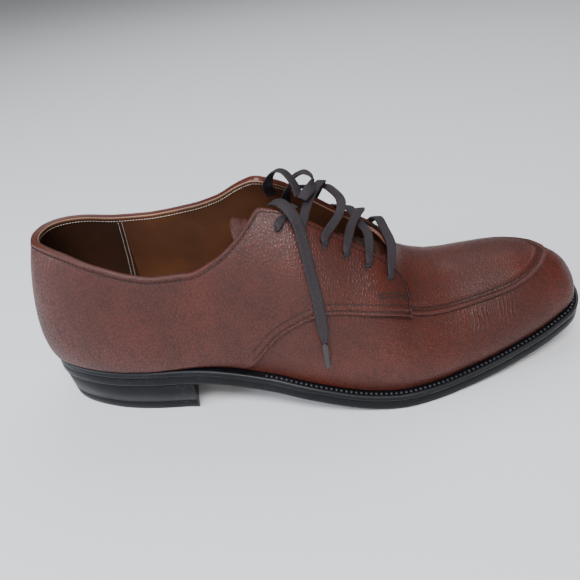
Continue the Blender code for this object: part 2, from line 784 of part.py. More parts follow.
def punch_eyelets(targets, cutters):
    """Blind eyelets: round holes through quarter and lining, square to the leather."""
    verts = []
    bm = bmesh.new()
    for inner in (False, True):
        for s, phi in eyelet_stations(inner):
            station = np.array([s])
            angle = np.array([phi])
            low, high = (Vector(skin(station, angle, lift)[0]) for lift in (-4 * MM, 6 * MM))
            turn = (high - low).to_track_quat("Z", "Y").to_matrix().to_4x4()
            place = Matrix.Translation((low + high) / 2) @ turn
            bmesh.ops.create_cone(bm, cap_ends=True, segments=10, radius1=EYELET_BORE / 2,
                                  radius2=EYELET_BORE / 2, depth=(high - low).length, matrix=place)
    mesh = bpy.data.meshes.new("eyelet_punch")
    bm.to_mesh(mesh)
    bm.free()
    punch = bpy.data.objects.new("eyelet_punch", mesh)
    punch.hide_render = True
    punch.display_type = "WIRE"
    cutters.objects.link(punch)
    for obj in targets:
        cut = obj.modifiers.new("eyelets", "BOOLEAN")
        cut.operation = "DIFFERENCE"
        cut.object = punch


def make_laces(material, tag_material, group):
    """Crossings over the throat, two slack loops at the top and the end that hangs down."""
    near = eyelet_stations(False)
    far = eyelet_stations(True)
    lace_bar("lace_bar_front", near[0], far[0], BAR_FRONT, material, group)
    pair = [
        lace_bar("lace_2_3", near[1], far[2], CROSS_LOW, material, group),
        lace_bar("lace_3_2", near[2], far[1], CROSS_MIDDLE, material, group),
    ]
    join("lace_cross_middle", pair, group)
    top = [
        lace_bar("lace_4_5", near[3], far[4], CROSS_HIGH, material, group),
        lace_bar("lace_5_4", near[4], far[3], CROSS_TOP, material, group),
    ]
    join("lace_cross_top", top, group)
    lining = (0, 0.8, 0.6)
    ribbon("lace_loop_back", route(LOOP_BACK),
           [(0.6, -0.6, 0.4), (0.6, -0.4, 0.5), (0.4, -0.1, 1), (0, 0.2, 1), (-0.5, 0.4, 1),
            (-0.5, 0.6, 0.5)] + 3 * [lining], material, group)
    ribbon("lace_loop_front", route(LOOP_FRONT),
           [lining, lining, (-0.4, 0.7, 0.5), (-0.8, 0.3, 0.4), (-1, 0, 0.4), (-0.5, 0, 1),
            (0, 0, 1), (0.8, 0, 0.8), (1, 0.1, 0), (0.7, -0.5, 0.5), (0.2, -0.4, 1), (0, -0.3, 1)],
           material, group)
    end_route = route(LACE_END)
    ribbon("lace_end", end_route,
           [(-0.2, -0.3, 1), (0, -0.4, 1), (0.1, -0.6, 0.8), (0.2, -0.7, 0.7), (0.3, -0.7, 0.65),
            (0.3, -0.75, 0.6), (0.25, -0.8, 0.5), (0.15, -0.9, 0.42), (0.1, -0.94, 0.33),
            (0, -0.98, 0.2)],
           material, group)
    tip = Vector(end_route[-1])
    run = (tip - Vector(end_route[-2])).normalized()
    bpy.ops.mesh.primitive_cone_add(
        vertices=12, radius1=TAG_RADIUS, radius2=0.8 * TAG_RADIUS, depth=TAG_LENGTH,
        location=tip + run * (TAG_LENGTH / 2 + CLEARANCE), rotation=run.to_track_quat("Z", "Y").to_euler())
    tag = bpy.context.object
    tag.name = "lace_tag"
    tag.data.materials.append(tag_material)
    for owner in tag.users_collection:
        owner.objects.unlink(tag)
    group.objects.link(tag)


def main():
    """Build the shoe."""
    clean(bpy.data.objects)
    group = bpy.data.collections.new("split_toe_derby")
    bpy.context.scene.collection.children.link(group)
    cutters = bpy.data.collections.new("cutters")
    bpy.context.scene.collection.children.link(cutters)
    cotton = finish_material("brown_cotton_lace", (0.06, 0.045, 0.045), 0.8)
    leather = finish_material("brown_grain_leather", (0.16, 0.05, 0.03), 0.4)
    black = finish_material("black_sole_leather", (0.01, 0.01, 0.012), 0.35)
    tan = finish_material("tan_lining_leather", (0.33, 0.13, 0.05), 0.6)
    plate("outsole", np.zeros_like, 0, OUTSOLE_THICK, black, group)
    make_welt(black, group)
    step = HEEL_TAPER * TOP_LIFT_THICK / HEEL_HEIGHT
    heel_slice("heel_block", TOP_LIFT_THICK + CLEARANCE, HEEL_HEIGHT - CLEARANCE,
               HEEL_STEP + HEEL_TAPER - step, HEEL_STEP, black, group)
    heel_slice("top_lift", 0, TOP_LIFT_THICK, HEEL_STEP + HEEL_TAPER,
               HEEL_STEP + HEEL_TAPER - step, black, group)
    insole_low = OUTSOLE_THICK + WELT_THICK + 2 * CLEARANCE
    plate("insole", lambda s: margin(s) + VAMP_WALL + 2 * CLEARANCE, insole_low,
          insole_low + INSOLE_THICK, tan, group)
    upper = make_upper(leather, group)
    outer_quarter = make_quarter("quarter_outer", False, leather, group)
    inner_quarter = make_quarter("quarter_inner", True, leather, group)
    punch_eyelets([upper, outer_quarter, inner_quarter], cutters)
    make_apron(leather, group)
    make_tongue(leather, group)
    make_laces(cotton, cotton, group)
    for obj in list(group.objects) + list(cutters.objects):
        obj.location.x -= HEEL_LENGTH / 2


main()
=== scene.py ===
"""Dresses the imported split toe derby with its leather, stitching, laces and light.

Shapes are drawn from the heel's back edge, as the part's source draws them, and moved
by half the heel's length, so that the origin lies under the middle of the heel.
"""

import math

import bmesh
import bpy
import numpy as np
from mathutils import Matrix, Vector


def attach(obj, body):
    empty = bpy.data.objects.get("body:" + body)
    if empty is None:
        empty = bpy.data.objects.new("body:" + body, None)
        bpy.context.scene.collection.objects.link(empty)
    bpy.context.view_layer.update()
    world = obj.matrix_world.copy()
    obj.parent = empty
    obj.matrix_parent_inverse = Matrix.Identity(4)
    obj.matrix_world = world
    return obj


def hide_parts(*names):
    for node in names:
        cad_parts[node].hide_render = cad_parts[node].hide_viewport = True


bl_info = {
    "name": "Split Toe Derby",
    "version": (1, 0, 0),
    "blender": (4, 5, 0),
    "location": "View3D > Sidebar > Derby",
    "description": "Dresses a welted derby shoe around its packed solids",
    "category": "Object",
}

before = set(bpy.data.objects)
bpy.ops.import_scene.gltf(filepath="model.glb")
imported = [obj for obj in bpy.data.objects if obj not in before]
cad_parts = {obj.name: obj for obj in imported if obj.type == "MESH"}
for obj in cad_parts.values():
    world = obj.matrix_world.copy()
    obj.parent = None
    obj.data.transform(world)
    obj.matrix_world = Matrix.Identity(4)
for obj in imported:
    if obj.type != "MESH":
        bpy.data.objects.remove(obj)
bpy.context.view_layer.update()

MM = 0.001

# Sole and heel
SOLE_LENGTH = 308 * MM
BALL_WIDTH = 106 * MM
HEEL_WIDTH = 72 * MM
HEEL_LENGTH = 82 * MM
HEEL_HEIGHT = 20 * MM
TOP_LIFT_THICK = 6 * MM
HEEL_TAPER = 2.2 * MM
HEEL_STEP = 0.8 * MM
BREAST_HOLLOW = 3 * MM
OUTSOLE_THICK = 5.8 * MM
WELT_THICK = 3.4 * MM
WELT_MARGIN = 5.4 * MM
SEAT_MARGIN = 1.6 * MM
WELT_SEAT = 9 * MM
TOE_SPRING = 17.5 * MM
TOE_SWING = 6.5 * MM
BACK_SWING = 2.9 * MM

# Upper
CONE_HEIGHT = 95 * MM
BACK_HEIGHT = 72 * MM
THROAT_GAP = 17 * MM
SIDE_BULGE = 4 * MM
VAMP_WALL = 1.6 * MM
QUARTER_LEATHER = 1.3 * MM
APRON_LEATHER = 1.2 * MM
INSOLE_THICK = 3 * MM
TONGUE_THICK = 2 * MM
TONGUE_SAG = 22 * MM
EYELET_SETBACK = 9.5 * MM
EYELET_COUNT = 6

# Lace
LACE_WIDTH = 5.6 * MM
LACE_THICK = 1.4 * MM
LACE_HOLLOW = 0.036 * LACE_THICK
TAG_RADIUS = 1.3 * MM

# Leather: how worn it is, and how dark the painted shade in its grain's valleys is.
LEATHER_WEAR = 0.35
PAINTED_VALLEY_SHADE = 0.62

# Plain finishes: colour, roughness, then wear, paleness of the worn places, shine and coat.
PLAIN_FINISHES = {
    "cut_edge": ((0.19, 0.07, 0.035), 0.65),
    "calf_lining": ((0.125, 0.046, 0.020), 0.55, 0.3, 1.5),
    # Darker lining deep in the heel pocket: painted shade.
    "heel_lining": ((0.052, 0.021, 0.012), 0.5, 0.3, 1.5),
    "cream_piping": ((0.26, 0.17, 0.10), 0.6),
    "insole_leather": ((0.17, 0.075, 0.03), 0.6, 0.5, 0.5),
    "sole_black": ((0.0035, 0.0037, 0.0050), 0.36, 0.5, 14, 0.22),
    "sole_under": ((0.055, 0.032, 0.02), 0.7, 0.7, 2.2),
    # The welt's rounded top edge is painted lighter grey: a painted highlight.
    "welt_lip_painted_highlight": ((0.012, 0.0125, 0.015), 0.4, 0.5, 4, 0.35),
    "thread": ((0.016, 0.006, 0.0045), 0.55),
    "pale_thread": ((0.62, 0.55, 0.47), 0.7),
    "welt_thread": ((0.016, 0.0165, 0.02), 0.45),
    "pressed_tag": ((0.016, 0.011, 0.012), 0.3, 0.0, 2.5, 0.5, 0.4),
    # Dark discs in the eyelets' holes: painted shade.
    "eyelet_painted_shade": ((0.012, 0.006, 0.005), 0.8),
}

# Wrinkles over the ball: place and half size along x and z, pitch, depth, and how pale the painted highlight
# on their crests is.
WRINKLES = [((0.2148, 0.0398), (0.0060, 0.0085), 0.0024, 0.0006, 0.16),
            ((0.1994, 0.0370), (0.0060, 0.0060), 0.0024, 0.0005, 0.14)]

# Studio: half the floor's side, its gap under the shoe and the sky's strength.
FLOOR_REACH = 3.0
FLOOR_GAP = 0.2 * MM
SKY_STRENGTH = 0.2

# Lights: place, aim, size, power and colour.
LIGHTS = {
    "window": ((0.2, 0.9, 1.3), (0.1, 0, 0.04), (1.4, 0.8), 10, (0.96, 0.98, 1.0)),
    "overhead": ((0.0, -0.75, 1.25), (0.1, 0, 0.03), (0.8, 0.4), 25, (0.97, 0.98, 1)),
    "near_fill": ((0.1, -1.4, 0.5), (0.1, 0, 0.04), (1.5, 0.35), 5, (1, 0.98, 0.97)),
    "mid_fill": ((0.15, -1.2, 0.95), (0.1, 0, 0.05), (1.1, 0.5), 2, (0.93, 0.96, 1)),
    "heel_side": ((-0.95, -0.35, 0.55), (-0.03, 0, 0.05), (0.35, 0.5), 9, (0.75, 0.86, 1)),
}

# Rows of stitches: distance from the edge that they follow.
ROW_NEAR = 2.0 * MM
ROW_FAR = 5.4 * MM
APRON_ROWS = (2.8 * MM, 4.4 * MM)
FRONT_ROW = 1.7 * MM
FACING_ROW = 1.6 * MM
COLLAR_ROW = 2.6 * MM
LINING_ROW = 2.0 * MM
WELT_ROW = 2.8 * MM
WELT_ROW_SUNK = 0.4 * MM
ON_LINING = -VAMP_WALL - 0.12 * MM

# Shares of the sole's length: where the quarter's flap and facing begin, where the collar edge
# leaves the lining, where the quarter's rows begin and shift, where the painted shade that darkens
# the heel's lining ends, and where its two rows of stitches stand.
FLAP_STARTS = (0.375, 0.42)
FACING_STARTS = (0.46, 0.50)
OFF_LINING = (0.585, 0.60)
ROWS_START = 0.385
ROW_SHIFT = (0.30, 0.42)
HEEL_POCKET = 0.155
HEEL_ROWS = (0.149, 0.156)

# Stations that rows reach: the lining's on both sides of the heel's back, the welt's from the
# outer waist round the toe to the inner one.
LINING_REACH = 0.47
WELT_ROW_SPAN = (0.405, 1.60)

# Ends of the two stay rows: share of the length and share of the rib's height.
STAY_ROWS = [((0.5956, 0.715), (0.6405, 0.793)), ((0.5951, 0.695), (0.6396, 0.770))]

# Radii of rounded edges, the collar's rolled edge and the tongue's creases.
FLAP_ROUND = 0.7 * MM
APRON_ROUND = 0.8 * MM
TONGUE_ROUND = 0.9 * MM
INSOLE_ROUNDS = (0.8 * MM, 0.1 * MM)
OUTSOLE_ROUNDS = (0.12 * MM, 1.2 * MM)
HEEL_CHAMFER = 0.12 * MM
COLLAR_ROLL = 0.75 * MM
COLLAR_SEAT = 0.15 * MM
COLLAR_SKIRT = 0.9 * MM
TONGUE_CREASE = 0.35 * MM

# Relief along edges, in millimetres: distance, half width and depth; a ridge has a negative one.
LOW_GROOVES = [(2.0, 0.55, 0.40), (5.4, 0.55, 0.34), (3.7, 1.2, -0.28), (0.8, 0.5, -0.2)]
FRONT_GROOVES = [(1.8, 0.5, 0.4), (0.8, 0.5, -0.2)]
FACING_GROOVES = [(1.6, 0.5, 0.30)]
COLLAR_GROOVES = [(2.6, 0.7, 0.25), (0.6, 1.2, -0.45)]
APRON_GROOVES = [(1.2, 0.75, -0.75), (2.7, 0.35, 0.2), (4.3, 0.35, 0.2), (6.2, 1.1, -0.3)]
APRON_SUNK = 0.6 * MM

# Stitches, in millimetres: pitch, length and thickness of the thread.
FINE_STITCH = (2.1, 1.75, 0.72)
STAY_STITCH = (1.7, 1.5, 0.9)
LINING_STITCH = (1.6, 1.15, 0.45)
HEEL_LINING_STITCH = (1.7, 1.2, 0.5)
WELT_STITCH = (2.7, 1.9, 2.0)

# Rings of an eyelet's mouth, as radius and rise in millimetres, and of the lace's tag, as
# height in millimetres and share of the tag's radius.
EYELET_PROFILE = [(2.15, -0.25), (1.95, 0.12), (1.7, 0.1), (1.45, -0.25)]
TAG_PROFILE = [(0.0, 0.55), (0.3, 0.95), (1.0, 1.0), (11.6, 0.9), (12.6, 0.82), (13.6, 0.6), (14.0, 0.15)]
RING_POINTS = 20

CLEARANCE = 0.3 * MM
FACET_SAG = 0.35 * MM

# The shoe is drawn from the heel's back edge and moved at the end.
# Outline of the sole: share of the length, then half widths.
# Up to the waist they are shares of the heel width, and beyond it of the ball width.
HEEL_OUTLINE = [
    # along, outer, inner
    (0.0105, 0.165, 0.24), (0.04, 0.305, 0.385), (0.113, 0.452, 0.49), (0.185, 0.515, 0.49),
    (0.26, 0.543, 0.47),
]
FORE_OUTLINE = [
    # along, outer, inner
    (0.41, 0.442, 0.322), (0.47, 0.49, 0.342), (0.56, 0.514, 0.405), (0.65, 0.506, 0.475),
    (0.75, 0.425, 0.5), (0.85, 0.322, 0.455), (0.93, 0.222, 0.355), (0.98, 0.125, 0.23),
]

# Underside of the outsole: share of the length, share of the heel height, of the toe spring.
SOLE_RISE = [
    # along, heel, spring
    (0, 1, 0), (0.27, 1, 0), (0.45, 0.6, 0), (0.59, 0.07, 0), (0.64, 0, 0), (0.71, 0, 0),
    (0.75, 0, 0.06), (0.81, 0, 0.19), (0.9, 0, 0.5), (1, 0, 1),
]

# Top line of the last above its edge, as a share of the cone height, and how square it is.
RIDGE = [
    # along, height, squareness
    (0.12, 1, 2.1), (0.2, 1, 2.05), (0.325, 1, 2.1), (0.455, 0.98, 2.15), (0.55, 0.87, 2.05),
    (0.62, 0.71, 2), (0.66, 0.568, 1.95), (0.7, 0.512, 1.95), (0.75, 0.477, 1.93), (0.8, 0.464, 2),
    (0.85, 0.443, 2.14), (0.893, 0.396, 2.25),
]

# Route of the lace's free stretches, in millimetres.
LOOP_BACK = [
    (150.3, -5.5, 108.2), (149.2, -2.6, 112.6), (146.2, 0.5, 117.1), (143.4, 2.8, 119.2),
    (139.9, 5.2, 118.7), (136.6, 7.5, 114.8), (134.9, 9.5, 109.6), (135.1, 14.6, 104),
    (136.4, 16.9, 100.3),
]
LOOP_FRONT = [
    (151.6, -9, 107.9), (154, -6.2, 109.6), (157.4, -2, 111.2), (158.6, 1.4, 112.6), (157.6, 2.5, 115.4),
    (154.3, 4, 116.9), (150.9, 5.5, 115.3), (148.4, 7.5, 112.5), (146.3, 9, 108.6), (144.2, 11.8, 102.6),
    (143.4, 17.2, 96), (143, 19.9, 91.2),
]
LACE_END = [
    (136.6, -12, 109.3), (138.8, -17, 111.9), (141.3, -21.3, 112.9), (144.4, -26, 111.7),
    (147.2, -29.1, 107.8), (148.9, -31.4, 102.4), (150, -34.3, 95.7), (151.6, -39, 84.9),
    (153.3, -43.4, 73.6), (154.4, -47, 63.3), (155, -49.6, 54), (155.2, -50.9, 48.6),
]

# Where the lace's broad side faces along these routes, and how the loose end narrows.
TO_LINING = (0, 0.8, 0.6)
BACK_FACING = [
    (0.6, -0.6, 0.4), (0.6, -0.4, 0.5), (0.4, -0.1, 1), (0, 0.2, 1), (-0.5, 0.4, 1), (-0.5, 0.6, 0.5),
    TO_LINING, TO_LINING, TO_LINING,
]
FRONT_FACING = [
    (0, -0.3, 1), (0.2, -0.4, 1), (0.7, -0.5, 0.5), (1, 0.1, 0), (0.8, 0, 0.8), (0, 0, 1), (-0.5, 0, 1),
    (-1, 0, 0.4), (-0.8, 0.3, 0.4), (-0.4, 0.7, 0.5), TO_LINING, TO_LINING,
]
END_FACING = [
    (-0.2, -0.3, 1), (0, -0.4, 1), (0.1, -0.6, 0.8), (0.2, -0.7, 0.7), (0.3, -0.7, 0.65),
    (0.3, -0.75, 0.6), (0.25, -0.8, 0.5), (0.15, -0.9, 0.42), (0.1, -0.94, 0.33), (0, -0.98, 0.2),
]
END_SLIM = [1] * 10 + [0.9, 0.45]

# Short strand under the hanging end: where it stops, its facing and its narrowing.
STRAND_END = (147.5, -12.5, 106.6)
STRAND_FACING = [(-0.5, -0.4, 1), (0, -0.5, 1), (0, -0.4, 1), (0.2, -0.2, 1)]
STRAND_SLIM = [0.5, 0.75, 0.9, 0.8]

# Laces over the throat: eyelets counted from the front, middle points in millimetres.
CROSSINGS = [
    # piece, solid, outer eyelet, inner eyelet, middle
    ("lace_front_bar", "lace_bar_front", 0, 0, [(195.6, -13, 78.6), (194.2, -2, 82.0), (192.4, 9, 83.5)]),
    ("lace_low_cross", "lace_cross_middle", 1, 2, [(184.2, -9, 84.0), (180.5, 0, 87.6), (177.0, 9, 91.3)]),
    ("lace_middle_cross", None, 2, 1, [(175.5, -9, 89.5), (179.8, 0, 91.0), (183.2, 9, 90.0)]),
    ("lace_high_cross", "lace_cross_top", 3, 4,
     [(169.5, -10, 97.5), (171.8, -2, 101.5), (168.5, 6, 104.0), (163.5, 13, 104.3)]),
    ("lace_top_cross", None, 4, 3, [(154, -10, 105), (159.0, 3, 107.2), (163.5, 11, 107.6)]),
]

# How far the side swells beyond the edge, as a share of the side bulge.
SWELL = [
    # along, outer, inner
    (0, 0.8, 0.8), (0.15, 0.8, 0.8), (0.3, 0.6, 1), (0.45, 0.5, 1.4), (0.6, 0.7, 1), (0.8, 0.9, 0.9),
    (1, 0.6, 0.6),
]
SWELL_PEAK = 0.22

# Collar height above the last's edge, as a share of the back height.
COLLAR = [
    # along, outer, inner
    (0, 0.985, 0.985), (0.03, 0.99, 0.965), (0.08, 0.965, 0.935), (0.148, 0.88, 0.88),
    (0.206, 0.804, 0.876), (0.245, 0.773, 0.89), (0.295, 0.779, 0.922), (0.341, 0.869, 1),
    (0.383, 1.023, 1.14), (0.406, 1.138, 1.215), (0.43, 1.29, 1.29), (0.45, 1.45, 1.4),
]

# Half the gap between the facings, as a share of the throat gap.
FACING = [
    # along, outer, inner
    (0.4, 1.02, 0.62), (0.442, 1.1, 0.74), (0.5, 1.2, 0.98), (0.56, 1.21, 1.08), (0.615, 1.22, 1.15),
    (0.634, 1.25, 1.22), (0.644, 1.42, 1.4), (0.649, 1.7, 1.7),
]

# Lower edge of the quarters and seam of the apron, as a share of the rib's height.
QUARTER_EDGE = [
    # along, outer, inner
    (0, 0, 0), (0.35, 0, 0), (0.381, 0.067, 0.067), (0.408, 0.182, 0.182), (0.43, 0.277, 0.277),
    (0.461, 0.377, 0.377), (0.488, 0.45, 0.45), (0.516, 0.505, 0.505), (0.579, 0.575, 0.575),
    (0.649, 0.665, 0.665),
]
APRON_SEAM = [
    # along, outer, inner
    (0.6, 0.69, 0.69), (0.65, 0.692, 0.692), (0.72, 0.71, 0.715), (0.79, 0.726, 0.735),
    (0.842, 0.75, 0.762), (0.877, 0.8, 0.81), (0.908, 0.862, 0.868), (0.936, 0.915, 0.918),
    (0.965, 0.95, 0.95), (1, 0.96, 0.96),
]

# Tongue: half width as a share of the rib's reach, drop as a share of the tongue's sag.
TONGUE = [
    # along, half width, drop
    (0.37, 0.2, 1), (0.376, 0.42, 1), (0.395, 0.54, 1), (0.46, 0.56, 0.95), (0.52, 0.54, 0.78),
    (0.58, 0.5, 0.48), (0.62, 0.42, 0.2), (0.645, 0.38, 0), (0.675, 0.34, 0),
]
QUARTER_FRONT = 0.649
APRON_BACK = 0.628
FLAP_RISE_START = 0.545
FLAP_RISE_END = 0.615
EYELET_FIRST = 0.614
EYELET_STEP = 0.0327
OUTER_WELT_START = 0.20
INNER_WELT_START = 0.36
OUTER_WELT_FULL = 0.36
INNER_WELT_FULL = 0.60
THROAT_END = 0.640
THROAT_ROUND = 0.040


def column(table, n):
    """One column of a table."""
    return np.array([row[n] for row in table], float)


def smooth(x, xs, ys):
    """Cubic curve through the table's points that adds no bumps between them."""
    xs = np.asarray(xs, float)
    ys = np.asarray(ys, float)
    step = np.diff(xs)
    slope = np.diff(ys) / step
    tangent = np.zeros(len(xs))
    inner = slope[:-1] * slope[1:] > 0
    w1 = 2 * step[1:] + step[:-1]
    w2 = step[1:] + 2 * step[:-1]
    with np.errstate(divide="ignore", invalid="ignore"):
        mean = (w1 + w2) / (w1 / slope[:-1] + w2 / slope[1:])
    tangent[1:-1] = np.where(inner, mean, 0)
    tangent[0] = slope[0]
    tangent[-1] = slope[-1]
    x = np.clip(x, xs[0], xs[-1])
    k = np.clip(np.searchsorted(xs, x) - 1, 0, len(xs) - 2)
    t = (x - xs[k]) / step[k]
    a = (1 + 2 * t) * (1 - t) ** 2
    b = t * (1 - t) ** 2
    c = t * t * (3 - 2 * t)
    d = t * t * (t - 1)
    return a * ys[k] + b * step[k] * tangent[k] + c * ys[k + 1] + d * step[k] * tangent[k + 1]


def table_value(table, along, inner):
    """Second column of a table on the outer side, third on the inner side."""
    outer_value = smooth(along, column(table, 0), column(table, 1))
    inner_value = smooth(along, column(table, 0), column(table, 2))
    return np.where(inner, inner_value, outer_value)


def closed_spline(points, steps=24):
    """Closed curve through the points, as a dense polyline."""
    p = np.asarray(points, float)
    n = len(p)
    out = []
    for i in range(n):
        a, b, c, d = p[i - 1], p[i], p[(i + 1) % n], p[(i + 2) % n]
        ka = np.linalg.norm(b - a) ** 0.5
        kb = np.linalg.norm(c - b) ** 0.5
        kc = np.linalg.norm(d - c) ** 0.5
        m1 = c - b + kb * ((b - a) / ka - (c - a) / (ka + kb))
        m2 = c - b + kb * ((d - c) / kc - (d - b) / (kb + kc))
        for t in np.arange(steps) / steps:
            out.append((2 * t**3 - 3 * t**2 + 1) * b + (t**3 - 2 * t**2 + t) * m1
                       + (3 * t**2 - 2 * t**3) * c + (t**3 - t**2) * m2)
    return np.array(out)


def sole_outline_points():
    """Outline of the sole from the heel's back, along the outer side to the toe and back."""
    outer = [(0.0, BACK_SWING)]
    inner = []
    for table, width in ((HEEL_OUTLINE, HEEL_WIDTH), (FORE_OUTLINE, BALL_WIDTH)):
        for along, out_share, in_share in table:
            outer.append((along * SOLE_LENGTH, -out_share * width))
            inner.append((along * SOLE_LENGTH, in_share * width))
    return outer + [(SOLE_LENGTH, TOE_SWING)] + inner[::-1]


def half_lengths():
    """The outline's two halves as polylines with their arc lengths, from heel to toe."""
    loop = closed_spline(sole_outline_points())
    toe = int(loop[:, 0].argmax())
    halves = []
    for half in (loop[: toe + 1], np.vstack([loop[toe:], loop[:1]])[::-1]):
        arc = np.concatenate([[0], np.cumsum(np.linalg.norm(np.diff(half, axis=0), axis=1))])
        halves.append((half, arc))
    return halves


HALVES = half_lengths()


def edge_point(s):
    """Point of the sole's outline: s goes 0 to 1 on the outer side, 1 to 2 back on the inner."""
    s = np.mod(s, 2.0)
    out = np.zeros(np.shape(s) + (2,))
    for half, mask, share in ((0, s <= 1, s), (1, s > 1, 2 - s)):
        line, arc = HALVES[half]
        at = np.clip(share, 0, 1) * arc[-1]
        point = np.stack([np.interp(at, arc, line[:, 0]), np.interp(at, arc, line[:, 1])], -1)
        out = np.where(mask[..., None], point, out)
    return out


def inset_edge(s, inset):
    """The outline moved inwards by inset."""
    d = 0.006
    run = edge_point(s + d) - edge_point(s - d)
    run /= np.linalg.norm(run, axis=-1)[..., None]
    inward = np.stack([-run[..., 1], run[..., 0]], -1)
    return edge_point(s) + inward * np.asarray(inset)[..., None], inward


def sole_under(x):
    """Height of the outsole's underside."""
    along = x / SOLE_LENGTH
    xs = column(SOLE_RISE, 0)
    heel = smooth(along, xs, column(SOLE_RISE, 1)) * HEEL_HEIGHT
    return heel + smooth(along, xs, column(SOLE_RISE, 2)) * TOE_SPRING


def feather_height(x):
    """Height of the welt's top face, on which the upper stands."""
    return sole_under(x) + OUTSOLE_THICK + WELT_THICK + 2 * CLEARANCE


def ease(x, low, high):
    """Smooth step from 0 at low to 1 at high."""
    t = np.clip((x - low) / (high - low), 0, 1)
    return t * t * (3 - 2 * t)


def margin(s):
    """How far the upper stands inside the sole's edge: little at the heel, more in front."""
    x = edge_point(s)[..., 0]
    inner = np.mod(s, 2) > 1
    start = np.where(inner, INNER_WELT_START, OUTER_WELT_START)
    end = np.where(inner, INNER_WELT_FULL, OUTER_WELT_FULL)
    return SEAT_MARGIN + (WELT_MARGIN - SEAT_MARGIN) * ease(x / SOLE_LENGTH, start, end)


def spine_x(x):
    """Where the rib that starts at x on the edge meets the last's top line."""
    low = RIDGE[0][0] * SOLE_LENGTH
    high = RIDGE[-1][0] * SOLE_LENGTH
    soft = 0.03 * SOLE_LENGTH
    x = low + soft * np.logaddexp(0, (x - low) / soft)
    return high - soft * np.logaddexp(0, (high - x) / soft)


def rib(s):
    """Foot of the rib, its inward direction, its top, squareness and swell."""
    u = np.where(s <= 1, s, 2 - s)
    foot, inward = inset_edge(s, margin(s))
    mean_x = (inset_edge(u, margin(u))[0][..., 0] + inset_edge(2 - u, margin(2 - u))[0][..., 0]) / 2
    top_x = spine_x(mean_x)
    along = top_x / SOLE_LENGTH
    height = smooth(along, column(RIDGE, 0), column(RIDGE, 1)) * CONE_HEIGHT
    square = smooth(along, column(RIDGE, 0), column(RIDGE, 2))
    swell = table_value(SWELL, foot[..., 0] / SOLE_LENGTH, s > 1) * SIDE_BULGE
    return foot, inward, top_x, feather_height(top_x) + height, square, swell


def skin_point(s, phi):
    """Point of the last's outer skin: phi is 0 at the edge and a right angle on the top line."""
    s, phi = np.broadcast_arrays(np.asarray(s, float), np.asarray(phi, float))
    over = phi > np.pi / 2
    s = np.mod(np.where(over, 2 - s, s), 2.0)
    phi = np.where(over, np.pi - phi, phi)
    foot, inward, top_x, top_z, square, swell = rib(s)
    foot_z = feather_height(foot[..., 0])
    sine = np.clip(np.sin(phi), 1e-9, 1)
    cosine = np.clip(np.cos(phi), 0, 1)
    rise = sine ** (2 / square)
    across = 1 - cosine ** (2 / square)
    swelling = swell * rise / SWELL_PEAK * np.exp(1 - rise / SWELL_PEAK)
    x = foot[..., 0] + (top_x - foot[..., 0]) * across - inward[..., 0] * swelling
    y = foot[..., 1] * (1 - across) - inward[..., 1] * swelling
    z = foot_z + (top_z - foot_z) * rise
    return np.stack([x, y, z], -1)


def skin(s, phi, lift=0.0):
    """Skin moved outwards by lift."""
    s, phi = np.broadcast_arrays(np.asarray(s, float), np.asarray(phi, float))
    ds = 0.004
    dp = 0.02
    low = np.clip(phi - dp, 0.002, None)
    run = skin_point(s + ds, phi) - skin_point(s - ds, phi)
    climb = skin_point(s, phi + dp) - skin_point(s, low)
    normal = np.cross(run, climb)
    length = np.linalg.norm(normal, axis=-1)[..., None]
    normal = np.where(length > 1e-12, normal / np.maximum(length, 1e-12), (0.0, 0.0, 1.0))
    return skin_point(s, phi) + normal * np.asarray(lift)[..., None]


def phi_at_rise(s, share):
    """Angle at which the skin has a given share of its rib's height."""
    square = rib(s)[4]
    return np.arcsin(np.clip(share, 0, 1) ** (square / 2))


def phi_at_gap(s, gap):
    """Angle at which the skin stands a given distance from the top line."""
    foot, _, top_x, _, square, _ = rib(s)
    reach = np.hypot(foot[..., 1], foot[..., 0] - top_x)
    return np.arccos(np.clip(gap / reach, 0, 1) ** (square / 2))


def soft_min(a, b, k=0.045):
    """The smaller of two values with a rounded change between them."""
    return -k * np.logaddexp(-a / k, -b / k)


def along_at(s):
    """Share of the sole's length at the rib's foot."""
    return inset_edge(s, margin(s))[0][..., 0] / SOLE_LENGTH


def collar_angle(s):
    """Angle of the collar's edge."""
    top_z = rib(s)[3]
    along = along_at(s)
    height = table_value(COLLAR, along, s > 1) * BACK_HEIGHT
    rise = height / (top_z - feather_height(along * SOLE_LENGTH))
    return phi_at_rise(s, rise)


def facing_angle(s):
    """Angle of the facing's edge."""
    along = along_at(s)
    gap = table_value(FACING, along, s > 1) * THROAT_GAP
    return phi_at_gap(s, gap)


def opening_angle(s):
    """Where the upper ends: at the collar, at the facings, or closed over the top line."""
    along = along_at(s)
    closing = np.clip((THROAT_END - along) / THROAT_ROUND, 0, 1) ** 0.5
    gap = table_value(FACING, np.minimum(along, THROAT_END - THROAT_ROUND), s > 1) * THROAT_GAP
    open_top = soft_min(collar_angle(s), phi_at_gap(s, gap * closing))
    return np.where(along >= THROAT_END, np.pi / 2, open_top)


def quarter_lift(s):
    """Height of the quarter's underside over the vamp: its front flap lies on the apron."""
    flap = ease(along_at(s), FLAP_RISE_START, FLAP_RISE_END)
    seat = CLEARANCE + FACET_SAG
    return seat + (APRON_LEATHER + seat) * flap


